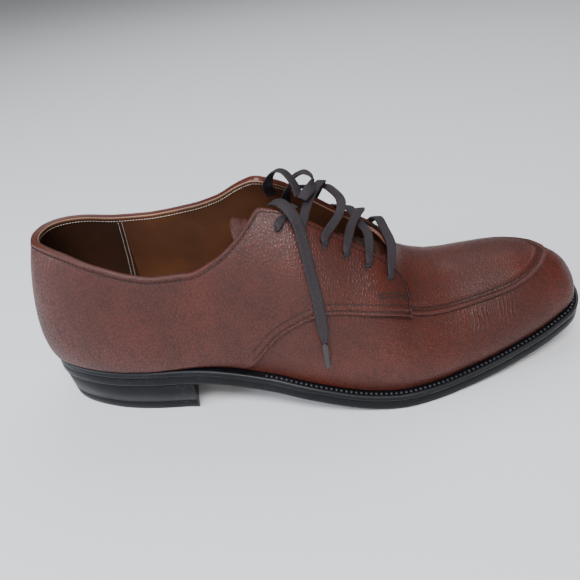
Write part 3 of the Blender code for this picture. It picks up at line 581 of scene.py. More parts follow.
def eyelet_stations(inner):
    """Station and angle of each eyelet on one side, from the front one to the top one."""
    u = np.linspace(0, 1, 2001)
    s = 2 - u if inner else u
    along = along_at(s)
    spots = []
    for i in range(EYELET_COUNT):
        here = np.interp(EYELET_FIRST - i * EYELET_STEP, along, s)
        station = np.array([here])
        edge = facing_angle(station)[0]
        phi = np.linspace(edge, edge / 2, 200)
        fall = np.linalg.norm(np.diff(skin_point(here, phi), axis=0), axis=1)
        spots.append((here, float(np.interp(EYELET_SETBACK, np.cumsum(fall), phi[1:]))))
    return spots


def place(points):
    """Points drawn from the heel's back edge, moved into the part's frame."""
    out = np.array(points, float)
    out[..., 0] -= HEEL_LENGTH / 2
    return out


def mesh_object(name, verts, faces, materials, slots=None, marks=None, merge=True):
    """Smooth mesh object with its doubles merged and its faces turned outwards."""
    mesh = bpy.data.meshes.new(name)
    mesh.from_pydata(place(verts).tolist(), [], [list(face) for face in faces])
    if slots is not None:
        mesh.polygons.foreach_set("material_index", np.asarray(slots, np.int32))
    for mark, values in (marks or {}).items():
        layer = mesh.attributes.new(mark, "FLOAT", "POINT")
        layer.data.foreach_set("value", np.asarray(values, np.float32))
    if merge:
        bm = bmesh.new()
        bm.from_mesh(mesh)
        bmesh.ops.remove_doubles(bm, verts=bm.verts, dist=0.004 * MM)
        bmesh.ops.dissolve_degenerate(bm, edges=bm.edges, dist=0.004 * MM)
        bmesh.ops.recalc_face_normals(bm, faces=bm.faces)
        bm.to_mesh(mesh)
        bm.free()
    mesh.shade_smooth()
    mesh.set_sharp_from_angle(angle=math.radians(70))
    for material in materials:
        mesh.materials.append(material)
    obj = bpy.data.objects.new(name, mesh)
    bpy.context.scene.collection.objects.link(obj)
    return obj


def dress(obj, slot, *nodes):
    """Let a piece ride on the shoe and stand for CAD nodes; slot is not used."""
    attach(obj, "root")
    if nodes:
        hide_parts(*nodes)


def grid_faces(rows, cols, start=0, flip=False, closed=False):
    """Quads of a grid of points, closed to a ring of rows where asked."""
    faces = []
    for i in range(rows if closed else rows - 1):
        k = (i + 1) % rows
        for j in range(cols - 1):
            quad = [start + i * cols + j, start + k * cols + j,
                    start + k * cols + j + 1, start + i * cols + j + 1]
            faces.append(quad[::-1] if flip else quad)
    return faces


def tube_faces(rings, count, start=0, ends=True):
    """Faces of a tube of rings, closed at its last ring and, with ends, at its first."""
    faces = []
    for i in range(rings - 1):
        for j in range(count):
            k = (j + 1) % count
            quad = [i * count + j, (i + 1) * count + j, (i + 1) * count + k, i * count + k]
            faces.append([start + corner for corner in quad])
    if ends:
        faces.append([start + j for j in range(count)])
    faces.append([start + (rings - 1) * count + j for j in reversed(range(count))])
    return faces


def slab_faces(rows, cols, zipped=False):
    """Faces of a solid between two grids: outside, inside and the four rims."""
    count = rows * cols
    outside = grid_faces(rows, cols)
    inside = grid_faces(rows, cols, count, flip=True)
    rim = [(0, j) for j in range(cols)] + [(i, cols - 1) for i in range(1, rows)]
    rim += [(rows - 1, j) for j in range(cols - 2, -1, -1)] + [(i, 0) for i in range(rows - 2, 0, -1)]
    sides = []
    for a, b in zip(rim, rim[1:] + rim[:1]):
        if zipped and a[0] == b[0] == rows - 1:
            continue
        i = a[0] * cols + a[1]
        j = b[0] * cols + b[1]
        sides.append([i, j, count + j, count + i])
    return outside, inside, sides


def arc_from(points, axis):
    """Distance of each point of a grid from the grid's first row or column."""
    step = np.linalg.norm(np.diff(points, axis=axis), axis=-1)
    first = np.zeros_like(np.take(step, [0], axis=axis))
    return np.concatenate([first, np.cumsum(step, axis=axis)], axis=axis)


def slab(name, outside, inside, finishes, slot, node, zipped=False, lower=None):
    """Solid between two grids: first finish outside, second inside and third round the rim."""
    faces = slab_faces(*outside.shape[:2], zipped)
    lower = [1] * len(faces[1]) if lower is None else lower
    slots = [0] * len(faces[0]) + lower + [2] * len(faces[2])
    verts = np.concatenate([outside.reshape(-1, 3), inside.reshape(-1, 3)])
    obj = mesh_object(name, verts, faces[0] + faces[1] + faces[2], finishes, slots)
    dress(obj, slot, node)


def over_top(low, high, share):
    """Angles from a low one on the outer side over the top line to one on the inner side."""
    left = np.pi / 2 + (np.pi / 2 - low[:, None]) * share
    right = np.pi / 2 + (np.pi / 2 - high[:, None]) * share
    return np.where(share < 0, left, right)


def edge_spaced(length, middle, near=(0.0, 0.15, 0.4, 0.8, 1.3, 2.0, 2.8, 3.8, 5.0, 6.4)):
    """Shares of a length with points close together at both ends."""
    near = np.array(near) * MM
    room = np.minimum(1, 0.42 * np.asarray(length)[:, None] / near[-1])
    low = near[None] * room / np.asarray(length)[:, None]
    between = np.linspace(0, 1, middle + 2)[None, 1:-1]
    mid = low[:, -1:] + (1 - 2 * low[:, -1:]) * between
    return np.concatenate([low, mid, 1 - low[:, ::-1]], axis=1)


def rounding(distance, radius):
    """How far a surface drops at a rounded edge, by distance from that edge."""
    t = np.clip(1 - distance / radius, 0, 1)
    return radius * (1 - np.sqrt(np.clip(1 - t * t, 0, 1)))


def grooves(distance, table):
    """Soft troughs along an edge, and ridges where the depth is negative."""
    return sum(-deep * MM * np.exp(-((distance - at * MM) / (width * MM)) ** 2) for at, width, deep in table)


class NodeMaker:
    """Adds nodes to a tree and joins them, from left to right."""

    def __init__(self, tree):
        self.tree = tree
        self.count = 0

    def add(self, kind, inputs=None, **settings):
        """New node: settings are its properties, inputs its values or the sockets that feed it."""
        node = self.tree.nodes.new(kind)
        node.location = (200 * (self.count % 12), -260 * (self.count // 12))
        self.count += 1
        for key, value in settings.items():
            setattr(node, key, value)
        for key, value in (inputs or {}).items():
            self.feed(node, key, value)
        return node

    def feed(self, node, key, value):
        """Join a socket to a node's input, or set the input to a value."""
        if isinstance(value, bpy.types.NodeSocket):
            self.tree.links.new(value, node.inputs[key])
        else:
            node.inputs[key].default_value = value

    def math(self, operation, a, b=0.0, clamp=False):
        """Output of a Math node."""
        return self.add("ShaderNodeMath", {0: a, 1: b}, operation=operation, use_clamp=clamp).outputs[0]

    def mix(self, factor, a, b):
        """Colour between two colours."""
        return self.add("ShaderNodeMix", {0: factor, 6: a, 7: b}, data_type="RGBA").outputs[2]

    def spread(self, value, low, high, to_low=0.0, to_high=1.0):
        """Value mapped smoothly from one range to another."""
        return self.add("ShaderNodeMapRange", {0: value, 1: low, 2: high, 3: to_low, 4: to_high},
                        interpolation_type="SMOOTHSTEP").outputs[0]

    def noise(self, vector, scale, detail=2.0, **more):
        """Noise over a vector."""
        return self.add("ShaderNodeTexNoise", {"Vector": vector, "Scale": scale, "Detail": detail, **more})

    def bump(self, height, distance, strength, **more):
        """Normal bent by a height."""
        return self.add("ShaderNodeBump", {"Height": height, "Distance": distance, "Strength": strength,
                                           **more}).outputs[0]

    def group(self, tree, inputs):
        """Node of a shared group."""
        return self.add("ShaderNodeGroup", inputs, node_tree=tree).outputs


def group_tree(name, inputs, outputs):
    """Empty shader group with named sockets, its maker and its start's sockets."""
    tree = bpy.data.node_groups.new(name, "ShaderNodeTree")
    for label, value in inputs.items():
        kind = "NodeSocketVector" if value is None else "NodeSocketFloat"
        socket = tree.interface.new_socket(label, in_out="INPUT", socket_type=kind)
        if value is not None:
            socket.default_value = value
    for label in outputs:
        tree.interface.new_socket(label, in_out="OUTPUT", socket_type="NodeSocketFloat")
    make = NodeMaker(tree)
    return tree, make, make.add("NodeGroupInput").outputs


def build_grain_group():
    """Pebbled leather: height of the grain, a mask of its valleys that sets painted shade and roughness, and
    patches of tone.
    """
    tree, make, start = group_tree("pebble_grain", {"Vector": None, "Scale": 900.0, "Warp": 0.0012},
                                   ("Height", "Valley", "Tone"))
    vector = start["Vector"]
    wander = make.noise(vector, 190.0).outputs["Color"]
    centred = make.add("ShaderNodeVectorMath", {0: wander, 1: (0.5, 0.5, 0.5)}, operation="SUBTRACT")
    moved = make.add("ShaderNodeVectorMath", {0: centred.outputs[0], 3: start["Warp"]}, operation="SCALE")
    where = make.add("ShaderNodeVectorMath", {0: vector, 1: moved.outputs[0]}, operation="ADD")
    cells = make.add("ShaderNodeTexVoronoi", {"Vector": where.outputs[0], "Scale": start["Scale"],
                                              "Randomness": 0.9}, feature="DISTANCE_TO_EDGE")
    away = cells.outputs["Distance"]
    fine = make.noise(vector, 2600.0).outputs["Fac"]
    patch = make.noise(vector, 55.0, 3.0).outputs["Fac"]
    height = make.math("MULTIPLY", make.spread(away, 0.0, 0.5), make.spread(patch, 0.3, 0.65, 0.7, 1.0))
    height = make.math("ADD", height, make.math("MULTIPLY", fine, 0.03))
    tone = make.noise(vector, 26.0, 4.0, Roughness=0.62).outputs["Fac"]
    make.add("NodeGroupOutput", {"Height": height, "Valley": make.spread(away, 0.0, 0.2, 1.0, 0.0),
                                 "Tone": tone})
    return tree


def build_wear_group():
    """Scuffs and rubbed places: a mask of fine streaks inside broad patches."""
    tree, make, start = group_tree("rubbed_places", {"Vector": None, "Amount": 0.5}, ("Mask",))
    broad = make.noise(start["Vector"], 34.0, 5.0).outputs["Fac"]
    streak = make.noise(start["Vector"], 420.0, 3.0, Distortion=0.8).outputs["Fac"]
    both = make.math("MULTIPLY", make.spread(broad, 0.5, 0.75), make.spread(streak, 0.52, 0.72))
    make.add("NodeGroupOutput", {"Mask": make.math("MULTIPLY", both, start["Amount"], clamp=True)})
    return tree


def build_weave_group():
    """Flat braid: its height from the distances along and across the lace."""
    tree, make, start = group_tree("flat_braid", {"Along": 0.0, "Across": 0.0, "Pitch": 0.0011}, ("Height",))
    along = make.math("DIVIDE", start["Along"], start["Pitch"])
    across = make.math("DIVIDE", make.math("ABSOLUTE", start["Across"]), start["Pitch"])
    chevron = make.math("SINE", make.math("MULTIPLY", make.math("ADD", along, across), math.tau))
    counter = make.math("SINE", make.math("MULTIPLY", make.math("SUBTRACT", along, across), math.tau))
    crossing = make.math("MULTIPLY", make.math("MULTIPLY", chevron, counter), 0.5)
    make.add("NodeGroupOutput", {"Height": make.spread(make.math("ADD", chevron, crossing), -1.3, 1.3)})
    return tree


def new_material(name):
    """Material with its shader, a maker for the nodes that feed it, and the place on the piece."""
    material = bpy.data.materials.new(name)
    material.use_nodes = True
    make = NodeMaker(material.node_tree)
    return make, material.node_tree.nodes["Principled BSDF"], make.add("ShaderNodeTexCoord").outputs["Object"]


def shade(colour, factor):
    """A colour made lighter or darker."""
    return (*[min(1.0, c * factor) for c in colour[:3]], 1.0)


def finish_shader(make, shader, base, rough, normal, shine=0.5):
    """Feed a material's shader."""
    make.feed(shader, "Base Color", base)
    make.feed(shader, "Roughness", rough)
    make.feed(shader, "Normal", normal)
    shader.inputs["Specular IOR Level"].default_value = shine


def leather(name, colour, groups, size, depth, stretch=(1, 1, 1), rough=0.43, marks=()):
    """Grained leather with painted shade in its grain's valleys; marks are wrinkles of the outer side, by
    place, half size, pitch, depth and the paleness of the painted highlight on their crests.
    """
    make, shader, where = new_material(name)
    turned = make.add("ShaderNodeMapping", {"Vector": where, "Scale": stretch}).outputs[0]
    grain = make.group(groups["grain"], {"Vector": turned, "Scale": size})
    worn = make.group(groups["wear"], {"Vector": where, "Amount": LEATHER_WEAR})
    base = make.mix(make.spread(grain["Tone"], 0.3, 0.72), shade(colour, 0.66), shade(colour, 1.12))
    # Painted shade: the grain's valleys darkened towards a fifth of the colour.
    base = make.mix(make.math("MULTIPLY", grain["Valley"], PAINTED_VALLEY_SHADE), base, shade(colour, 0.2))
    base = make.mix(worn["Mask"], base, shade(colour, 1.9))
    normal = make.bump(grain["Height"], depth, 0.85)
    x, y, z = make.add("ShaderNodeSeparateXYZ", {0: where}).outputs
    for centre, half, pitch, deep, pale in marks:
        window = make.spread(y, -0.012, -0.006, 1.0, 0.0)
        for value, middle, reach in zip((x, z), centre, half):
            off = make.math("DIVIDE", make.math("SUBTRACT", value, middle), reach)
            inside = make.spread(make.math("ABSOLUTE", off), 0.35, 1.0, 1.0, 0.0)
            window = make.math("MULTIPLY", window, inside)
        shift = make.math("MULTIPLY", make.noise(where, 130.0).outputs["Fac"], 1.6 * pitch)
        wave = make.math("SINE", make.math("DIVIDE", make.math("ADD", x, shift), pitch / math.tau))
        ridge = make.math("MULTIPLY", make.spread(wave, 0.2, 1.0), window)
        normal = make.bump(ridge, deep, 1.0, Normal=normal)
        # Painted highlight: the wrinkles' crests made paler.
        base = make.mix(make.math("MULTIPLY", ridge, pale), base, shade(colour, 3.2))
    rough_map = make.math("ADD", make.spread(grain["Tone"], 0.3, 0.7, rough + 0.07, rough - 0.05),
                          make.math("MULTIPLY", grain["Valley"], 0.16))
    finish_shader(make, shader, base, rough_map, normal, 0.48)


def plain_finish(name, colour, groups, rough=0.5, wear=0.0, pale=2.5, shine=0.5, coat=0.0):
    """Smooth finish with fine unevenness, patches of tone and rubbed marks."""
    make, shader, where = new_material(name)
    fine = make.noise(where, 300.0, 4.0).outputs["Fac"]
    broad = make.noise(where, 32.0, 3.0).outputs["Fac"]
    base = make.mix(make.spread(broad, 0.3, 0.7), shade(colour, 0.72), shade(colour, 1.16))
    if wear:
        worn = make.group(groups["wear"], {"Vector": where, "Amount": wear})
        base = make.mix(worn["Mask"], base, shade(colour, pale))
    rough_map = make.spread(broad, 0.3, 0.7, rough + 0.08, rough - 0.06)
    finish_shader(make, shader, base, rough_map, make.bump(fine, 0.06 * MM, 0.8), shine)
    shader.inputs["Coat Weight"].default_value = coat
    shader.inputs["Coat Roughness"].default_value = 0.12


def braid_finish(name, colour, groups):
    """Woven cotton that follows the lace, darker in the braid's low places as painted shade."""
    make, shader, where = new_material(name)
    along, across = [make.add("ShaderNodeAttribute", attribute_name=mark).outputs["Fac"]
                     for mark in ("along", "across")]
    weave = make.group(groups["weave"], {"Along": along, "Across": across})["Height"]
    fuzz = make.noise(where, 1500.0, 3.0).outputs["Fac"]
    # Painted shade: the braid darker in its low places and lighter on its raised yarns, with random fuzz.
    tone = make.math("ADD", make.math("MULTIPLY", weave, 0.6), make.math("MULTIPLY", fuzz, 0.5))
    base = make.mix(tone, shade(colour, 0.5), shade(colour, 1.5))
    finish_shader(make, shader, base, 0.72, make.bump(weave, 0.22 * MM, 0.9))


def distance_to(points, line):
    """Distance of every point of a grid from the nearest place on a line."""
    start = line[:-1]
    run = line[1:] - start
    length = np.maximum((run * run).sum(1), 1e-14)
    flat = points.reshape(-1, points.shape[-1])
    out = np.empty(len(flat))
    for i in range(0, len(flat), 2000):
        part = flat[i:i + 2000, None] - start[None]
        t = np.clip((part * run[None]).sum(-1) / length, 0, 1)
        out[i:i + 2000] = np.linalg.norm(part - run[None] * t[..., None], axis=-1).min(1)
    return out.reshape(points.shape[:-1])


def station_at(along, inner=False):
    """Station, counted from the heel's back, where one side's foot has a share of the length."""
    u = np.linspace(0, 1, 4001)
    return np.interp(along, along_at(2 - u if inner else u), u)


def quarter_top(s):
    """Angle of a quarter's upper edge, along the collar and the facing."""
    return soft_min(collar_angle(s), facing_angle(s))


def quarter_grid(inner, rows=260, middle=22):
    """Stations and angles over one quarter, closer together at its edges."""
    front = station_at(QUARTER_FRONT, inner)
    seam = CLEARANCE / 2 / HALVES[int(inner)][1][-1]
    near_front = np.array([0.25, 0.6, 1.1, 1.7, 2.4, 3.2, 4.2]) * MM / 0.31
    share = np.concatenate([np.linspace(0, 1 - near_front[-1], rows), 1 - near_front[-2::-1], [1.0]])
    u = seam + (front - seam) * share
    s = 2 - u if inner else u
    low = np.maximum(phi_at_rise(s, table_value(QUARTER_EDGE, along_at(s), inner)), 0.03)
    top = np.maximum(quarter_top(s), low + 0.01)
    length = np.linalg.norm(skin_point(s, top) - skin_point(s, low), axis=1)
    share = edge_spaced(length, middle)
    return s, low[:, None] + (top - low)[:, None] * share


def on_quarter(s, phi, extra=0.0):
    """Point on a quarter's outer face, where it may stand on the welt."""
    s, phi = np.broadcast_arrays(s, phi)
    grid = skin(s, phi, quarter_lift(s) + QUARTER_LEATHER + extra)
    grid[..., 2] = np.maximum(grid[..., 2], feather_height(grid[..., 0]) + CLEARANCE)
    return grid


def quarter_edges(inner):
    """Lower edge, front edge and throat edge of a quarter on its outer face."""
    s, phi = quarter_grid(inner, rows=120, middle=4)
    face = on_quarter(s[:, None], phi)
    return face[:, 0], face[-1], face[:, -1]


def build_quarter(inner, finishes):
    """One side piece with rounded edges and soft leather between its rows of stitches."""
    s, phi = quarter_grid(inner)
    flat = on_quarter(s[:, None], phi)
    low, front, throat = quarter_edges(inner)
    from_low = distance_to(flat, low)
    from_front = distance_to(flat, front)
    from_throat = distance_to(flat, throat)
    flap = ease(along_at(s), *FLAP_STARTS)[:, None]
    facing = ease(along_at(s), *FACING_STARTS)[:, None]
    relief = flap * grooves(from_low, LOW_GROOVES) + grooves(from_front, FRONT_GROOVES)
    relief += facing * grooves(from_throat, FACING_GROOVES)
    relief += (1 - facing) * grooves(from_throat, COLLAR_GROOVES)
    drop = flap * rounding(from_low, FLAP_ROUND) + rounding(from_front, FLAP_ROUND)
    drop = np.minimum(drop + 0.6 * rounding(from_throat, TONGUE_ROUND), 1.05 * MM)
    outside = on_quarter(s[:, None], phi, relief - drop)
    inside = on_quarter(s[:, None], phi, -QUARTER_LEATHER)
    node = "quarter_inner" if inner else "quarter_outer"
    slab(node + "_dressed", outside, inside, finishes, "grain_leather", node)


def build_upper(finishes, stations=460, rows=36):
    """Vamp, sides and back: leather outside, lining inside, with its rims."""
    s = np.linspace(0, 2, stations, endpoint=False)
    top = opening_angle(s)
    share = np.linspace(0, 1, rows)
    phi = 0.03 + (top[:, None] - 0.03) * share[None] ** 1.1
    outside = skin(s[:, None], phi)
    outside[:, 0, 2] = feather_height(outside[:, 0, 0]) + CLEARANCE
    inside = skin(s[:, None], phi, -VAMP_WALL)
    inside[:, 0, 2] = feather_height(inside[:, 0, 0]) + CLEARANCE
    count = stations * rows
    faces = grid_faces(stations, rows, closed=True)
    lining = grid_faces(stations, rows, count, flip=True, closed=True)
    closed_top = top > np.pi / 2 - 1e-6
    sides = []
    for i in range(stations):
        k = (i + 1) % stations
        sides.append([i * rows, k * rows, count + k * rows, count + i * rows])
        if not (closed_top[i] and closed_top[k]):
            a = i * rows + rows - 1
            b = k * rows + rows - 1
            sides.append([a, b, count + b, count + a])
    verts = np.concatenate([outside.reshape(-1, 3), inside.reshape(-1, 3)])
    # Painted shade: the lining is darker in the heel pocket, behind HEEL_POCKET.
    in_pocket = np.repeat(along_at(s) < HEEL_POCKET, rows - 1)
    slots = [0] * len(faces) + np.where(in_pocket, 3, 1).tolist() + [2] * len(sides)
    obj = mesh_object("upper_dressed", verts, faces + lining + sides, finishes, slots)
    dress(obj, "grain_leather", "upper")


def collar_cap(inner, finishes):
    """Rounded leather edge over the quarter and the lining, along collar and facing."""
    u = station_at(QUARTER_FRONT - 0.002, inner) * np.linspace(0, 1, 420)
    s = 2 - u if inner else u
    top = quarter_top(s)
    over = ease(along_at(s), *OFF_LINING)
    inner_lift = -VAMP_WALL * (1 - over) + quarter_lift(s) * over
    outer_lift = quarter_lift(s) + QUARTER_LEATHER
    middle = (inner_lift + outer_lift) / 2
    half = (outer_lift - inner_lift) / 2
    turn = np.linspace(-0.5, 0.5, 11) * math.pi
    lift = middle[:, None] + half[:, None] * 1.03 * np.sin(turn)[None]
    base = skin(s[:, None], top[:, None] - 0.0006, lift)
    edge = skin(s, top, middle)
    below = skin(s, top - 0.02, middle)
    climb = (edge - below) / np.linalg.norm(edge - below, axis=1)[:, None]
    rise = np.cos(turn)[None, :, None] * COLLAR_ROLL - COLLAR_SEAT
    points = base + climb[:, None] * rise
    skirt = base - climb[:, None] * COLLAR_SKIRT
    points = np.concatenate([skirt[:, :1], points, skirt[:, -1:]], axis=1)
    rows, cols = points.shape[:2]
    slots = ([1, 1, 1, 2] + [0] * (cols - 5)) * (rows - 1)
    name = "collar_edge_inner" if inner else "collar_edge_outer"
    obj = mesh_object(name, points.reshape(-1, 3), grid_faces(rows, cols), finishes, slots)
    dress(obj, "grain_leather")


def apron_grid(rows=150, middle=44):
    """Stations and angles over the apron from its back to the toe."""
    back = station_at(APRON_BACK)
    u = back + (1 - back) * np.linspace(0, 1, rows) ** 0.9
    low = phi_at_rise(u, table_value(APRON_SEAM, along_at(u), False))
    high = phi_at_rise(2 - u, table_value(APRON_SEAM, along_at(2 - u), True))
    low[-1] = high[-1] = (low[-1] + high[-1]) / 2
    length = np.linalg.norm(skin_point(u, low) - skin_point(u, np.full(rows, np.pi / 2)), axis=1) * 2
    share = edge_spaced(np.maximum(length, 6 * MM), middle) * 2 - 1
    return u, over_top(low, high, share)


def apron_seam():
    """The apron's edge as one line round the toe, on its outer face."""
    u, across = apron_grid(middle=4)
    lift = CLEARANCE + FACET_SAG + APRON_LEATHER
    outer = skin(u, across[:, 0], lift)
    inner = skin(u, across[:, -1], lift)
    return np.concatenate([outer, inner[-2::-1]])


def build_apron(finishes):
    """Raised piece over the toe with a ridge at its edge and a sunken band for the stitches."""
    u, across = apron_grid()
    seat = CLEARANCE + FACET_SAG
    flat = skin(u[:, None], across, seat + APRON_LEATHER)
    away = distance_to(flat, apron_seam())
    band = ease(away, 1.9 * MM, 2.5 * MM) * (1 - ease(away, 4.7 * MM, 5.6 * MM))
    relief = grooves(away, APRON_GROOVES) - APRON_SUNK * band
    drop = np.minimum(rounding(away, APRON_ROUND), APRON_ROUND)
    outside = skin(u[:, None], across, seat + APRON_LEATHER + relief - drop)
    inside = skin(u[:, None], across, seat - 0.25 * MM)
    slab("apron_dressed", outside, inside, finishes, "grain_leather", "apron", zipped=True)


def build_tongue(finishes):
    """Tongue with rounded edges, leather above and lining below."""
    u = np.linspace(*station_at([TONGUE[0][0], TONGUE[-1][0]]), 90)
    along = along_at(u)
    half = smooth(along, column(TONGUE, 0), column(TONGUE, 1))
    drop = smooth(along, column(TONGUE, 0), column(TONGUE, 2)) * TONGUE_SAG
    low = np.arccos(half ** (rib(u)[4] / 2))
    t = edge_spaced(np.full(len(u), 60 * MM), 18, near=(0.0, 0.3, 0.8, 1.6, 2.6, 4.0)) * 2 - 1
    across = over_top(low, low, t)
    under_wall = -(VAMP_WALL + 2 * CLEARANCE)
    flat = skin(u[:, None], across, under_wall)
    away = distance_to(flat, np.concatenate([flat[::-1, 0], flat[0, 1:], flat[1:, -1]]))
    round_off = rounding(away, TONGUE_ROUND)
    crease = TONGUE_CREASE * np.sin(along[:, None] * 420 + across * 2.5) * ease(away, 2 * MM, 9 * MM)
    outside = skin(u[:, None], across, under_wall - round_off + crease - TONGUE_CREASE)
    inside = skin(u[:, None], across, under_wall - TONGUE_THICK + round_off)
    for grid in (outside, inside):
        grid[..., 2] -= drop[:, None]
    slab("tongue_dressed", outside, inside, finishes, "grain_leather", "tongue")


def sole_plate(name, inset, low, high, rounds, finishes, slot, node):
    """Plate that follows the sole, its edges rounded above and below."""
    top_round, bottom_round = rounds
    u = (1 - np.cos(np.pi * np.linspace(0, 1, 170))) / 2
    outer = inset_edge(u, inset(u))[0]
    inner = inset_edge(2 - u, inset(2 - u))[0]
    width = np.maximum(np.linalg.norm(outer - inner, axis=1), 4 * MM)
    t = edge_spaced(width, 14, near=(0.0, 0.12, 0.35, 0.7, 1.2, 1.9, 3.0))[..., None]
    flat = outer[:, None] * (1 - t) + inner[:, None] * t
    away = distance_to(flat, np.concatenate([outer, inner[::-1]]))
    base = sole_under(flat[..., 0])
    top = np.dstack([flat, base + high - rounding(away, top_round)])
    bottom = np.dstack([flat, base + low + rounding(away, bottom_round)])
    under = (away[1:, 1:] > 1.3 * bottom_round).ravel().astype(int).tolist()
    slab(name, top, bottom, finishes, slot, node, lower=under)


def build_welt(finishes):
    """Ring under the upper with a rounded lip, painted lighter as a highlight, and a dished top."""
    s = np.linspace(0, 2, 700, endpoint=False)
    low = OUTSOLE_THICK + CLEARANCE
    top = low + WELT_THICK
    profile = [(WELT_SEAT, low), (0.12 * MM, low), (0.02 * MM, low + 0.1 * MM), (0.0, low + 1.0 * MM),
               (0.0, top - 0.9 * MM), (0.2 * MM, top - 0.3 * MM), (0.7 * MM, top - 0.02 * MM),
               (1.4 * MM, top - 0.05 * MM), (2.3 * MM, top - 0.35 * MM), (3.3 * MM, top - 0.2 * MM),
               (4.4 * MM, top), (WELT_SEAT, top), (WELT_SEAT, low)]
    rings = []
    for inset, height in profile:
        flat = inset_edge(s, np.full(len(s), inset))[0]
        rings.append(np.column_stack([flat, sole_under(flat[:, 0]) + height]))
    grid = np.stack(rings, 1)
    faces = grid_faces(len(s), len(profile), closed=True)
    cols = len(profile) - 1
    # The welt's rounded top edge takes the lighter grey of the painted highlight.
    slots = [1 if 4 <= k % cols <= 6 else 0 for k in range(len(faces))]
    obj = mesh_object("welt_dressed", grid.reshape(-1, 3), faces, finishes, slots)
    dress(obj, "sole_leather", "welt")


def heel_ring(inset, count=150):
    """Closed outline of the heel at an inset, with its hollow front."""
    fine = np.linspace(0, 1, 2001)
    sides = []
    for inner in (False, True):
        at = 2 - fine if inner else fine
        line = inset_edge(at, np.full(len(fine), inset))[0]
        end = np.interp(HEEL_LENGTH, line[:1200, 0], fine[:1200])
        share = np.linspace(0, end, count)
        sides.append(inset_edge(2 - share if inner else share, np.full(count, inset))[0])
    outer, inner = sides
    t = np.linspace(0, 1, 30)[1:-1, None]
    front = outer[-1] * (1 - t) + inner[-1] * t
    front[:, 0] -= BREAST_HOLLOW * (1 - (2 * t[:, 0] - 1) ** 2)
    return np.concatenate([outer, front, inner[:0:-1]])


def heel_layer(name, profile, finishes, node):
    """Layer of the heel: rings at heights and insets, closed above and below."""
    rings = []
    for height, inset in profile:
        ring = heel_ring(inset)
        rings.append(np.column_stack([ring, np.full(len(ring), height)]))
    faces = tube_faces(len(rings), len(rings[0]))
    obj = mesh_object(name, np.concatenate(rings), faces, finishes)
    dress(obj, "heel_rubber" if node == "top_lift" else "sole_leather", node)


def build_heel(finishes):
    """Heel with a faint line above its top lift."""
    taper = HEEL_TAPER / HEEL_HEIGHT
    low = TOP_LIFT_THICK + CLEARANCE
    high = HEEL_HEIGHT - CLEARANCE

    def inset(height):
        return HEEL_STEP + HEEL_TAPER - taper * height

    profile = [(low, inset(low) + HEEL_CHAMFER), (low + HEEL_CHAMFER, inset(low))]
    profile += [(high - 0.15 * MM, inset(high)), (high, inset(high) + 0.15 * MM)]
    heel_layer("heel_block_dressed", profile, finishes, "heel_block")
    profile = [(0.0, inset(0) + 1.0 * MM), (0.3 * MM, inset(0) + 0.3 * MM), (1.0 * MM, inset(0)),
               (TOP_LIFT_THICK - HEEL_CHAMFER, inset(TOP_LIFT_THICK)),
               (TOP_LIFT_THICK, inset(TOP_LIFT_THICK) + HEEL_CHAMFER)]
    heel_layer("top_lift_dressed", profile, finishes, "top_lift")


def curve_through(points, per_span=10):
    """Smooth open curve through the points."""
    p = np.asarray(points, float)
    ends = np.vstack([2 * p[0] - p[1], p, 2 * p[-1] - p[-2]])
    out = []
    for i in range(1, len(p)):
        a, b, c, d = ends[i - 1: i + 3]
        for t in np.arange(per_span) / per_span:
            out.append(0.5 * (2 * b + (c - a) * t + (2 * a - 5 * b + 4 * c - d) * t**2
                              + (3 * b - a - 3 * c + d) * t**3))
    return np.array(out + [p[-1]])


def ribbon(name, path, ups, finish, narrow=None):
    """Flat woven lace along a path, broad side facing ups, narrowed where its share is below one."""
    line = curve_through(path)
    share = np.linspace(0, len(ups) - 1, len(line))
    ups = np.asarray(ups, float)
    up = np.stack([np.interp(share, np.arange(len(ups)), ups[:, k]) for k in range(3)], 1)
    run = np.gradient(line, axis=0)
    run /= np.linalg.norm(run, axis=1)[:, None]
    side = np.cross(run, up)
    side /= np.linalg.norm(side, axis=1)[:, None]
    up = np.cross(side, run)
    arc = arc_from(line, 0)
    slim = np.ones(len(line))
    if narrow is not None:
        slim = np.interp(np.linspace(0, len(narrow) - 1, len(line)), np.arange(len(narrow)), narrow)
    turn = np.linspace(0, math.tau, 16, endpoint=False)
    flat_x = np.sign(np.cos(turn)) * np.abs(np.cos(turn)) ** 0.55
    flat_y = np.sign(np.sin(turn)) * np.abs(np.sin(turn)) ** 0.75
    across = flat_x[None] * (LACE_WIDTH / 2) * slim[:, None]
    up_by = flat_y[None] * (LACE_THICK / 2) * (1 + 0.5 * (1 - slim[:, None]))
    up_by = up_by - LACE_HOLLOW * (1 - flat_x[None] ** 2) * np.sign(flat_y[None])
    grid = line[:, None] + side[:, None] * across[..., None] + up[:, None] * up_by[..., None]
    count = len(turn)
    faces = tube_faces(len(line), count)
    marks = {"along": np.repeat(arc, count), "across": across.ravel()}
    obj = mesh_object(name, grid.reshape(-1, 3), faces, [finish], None, marks, merge=False)
    return obj, line, float(arc[-1])


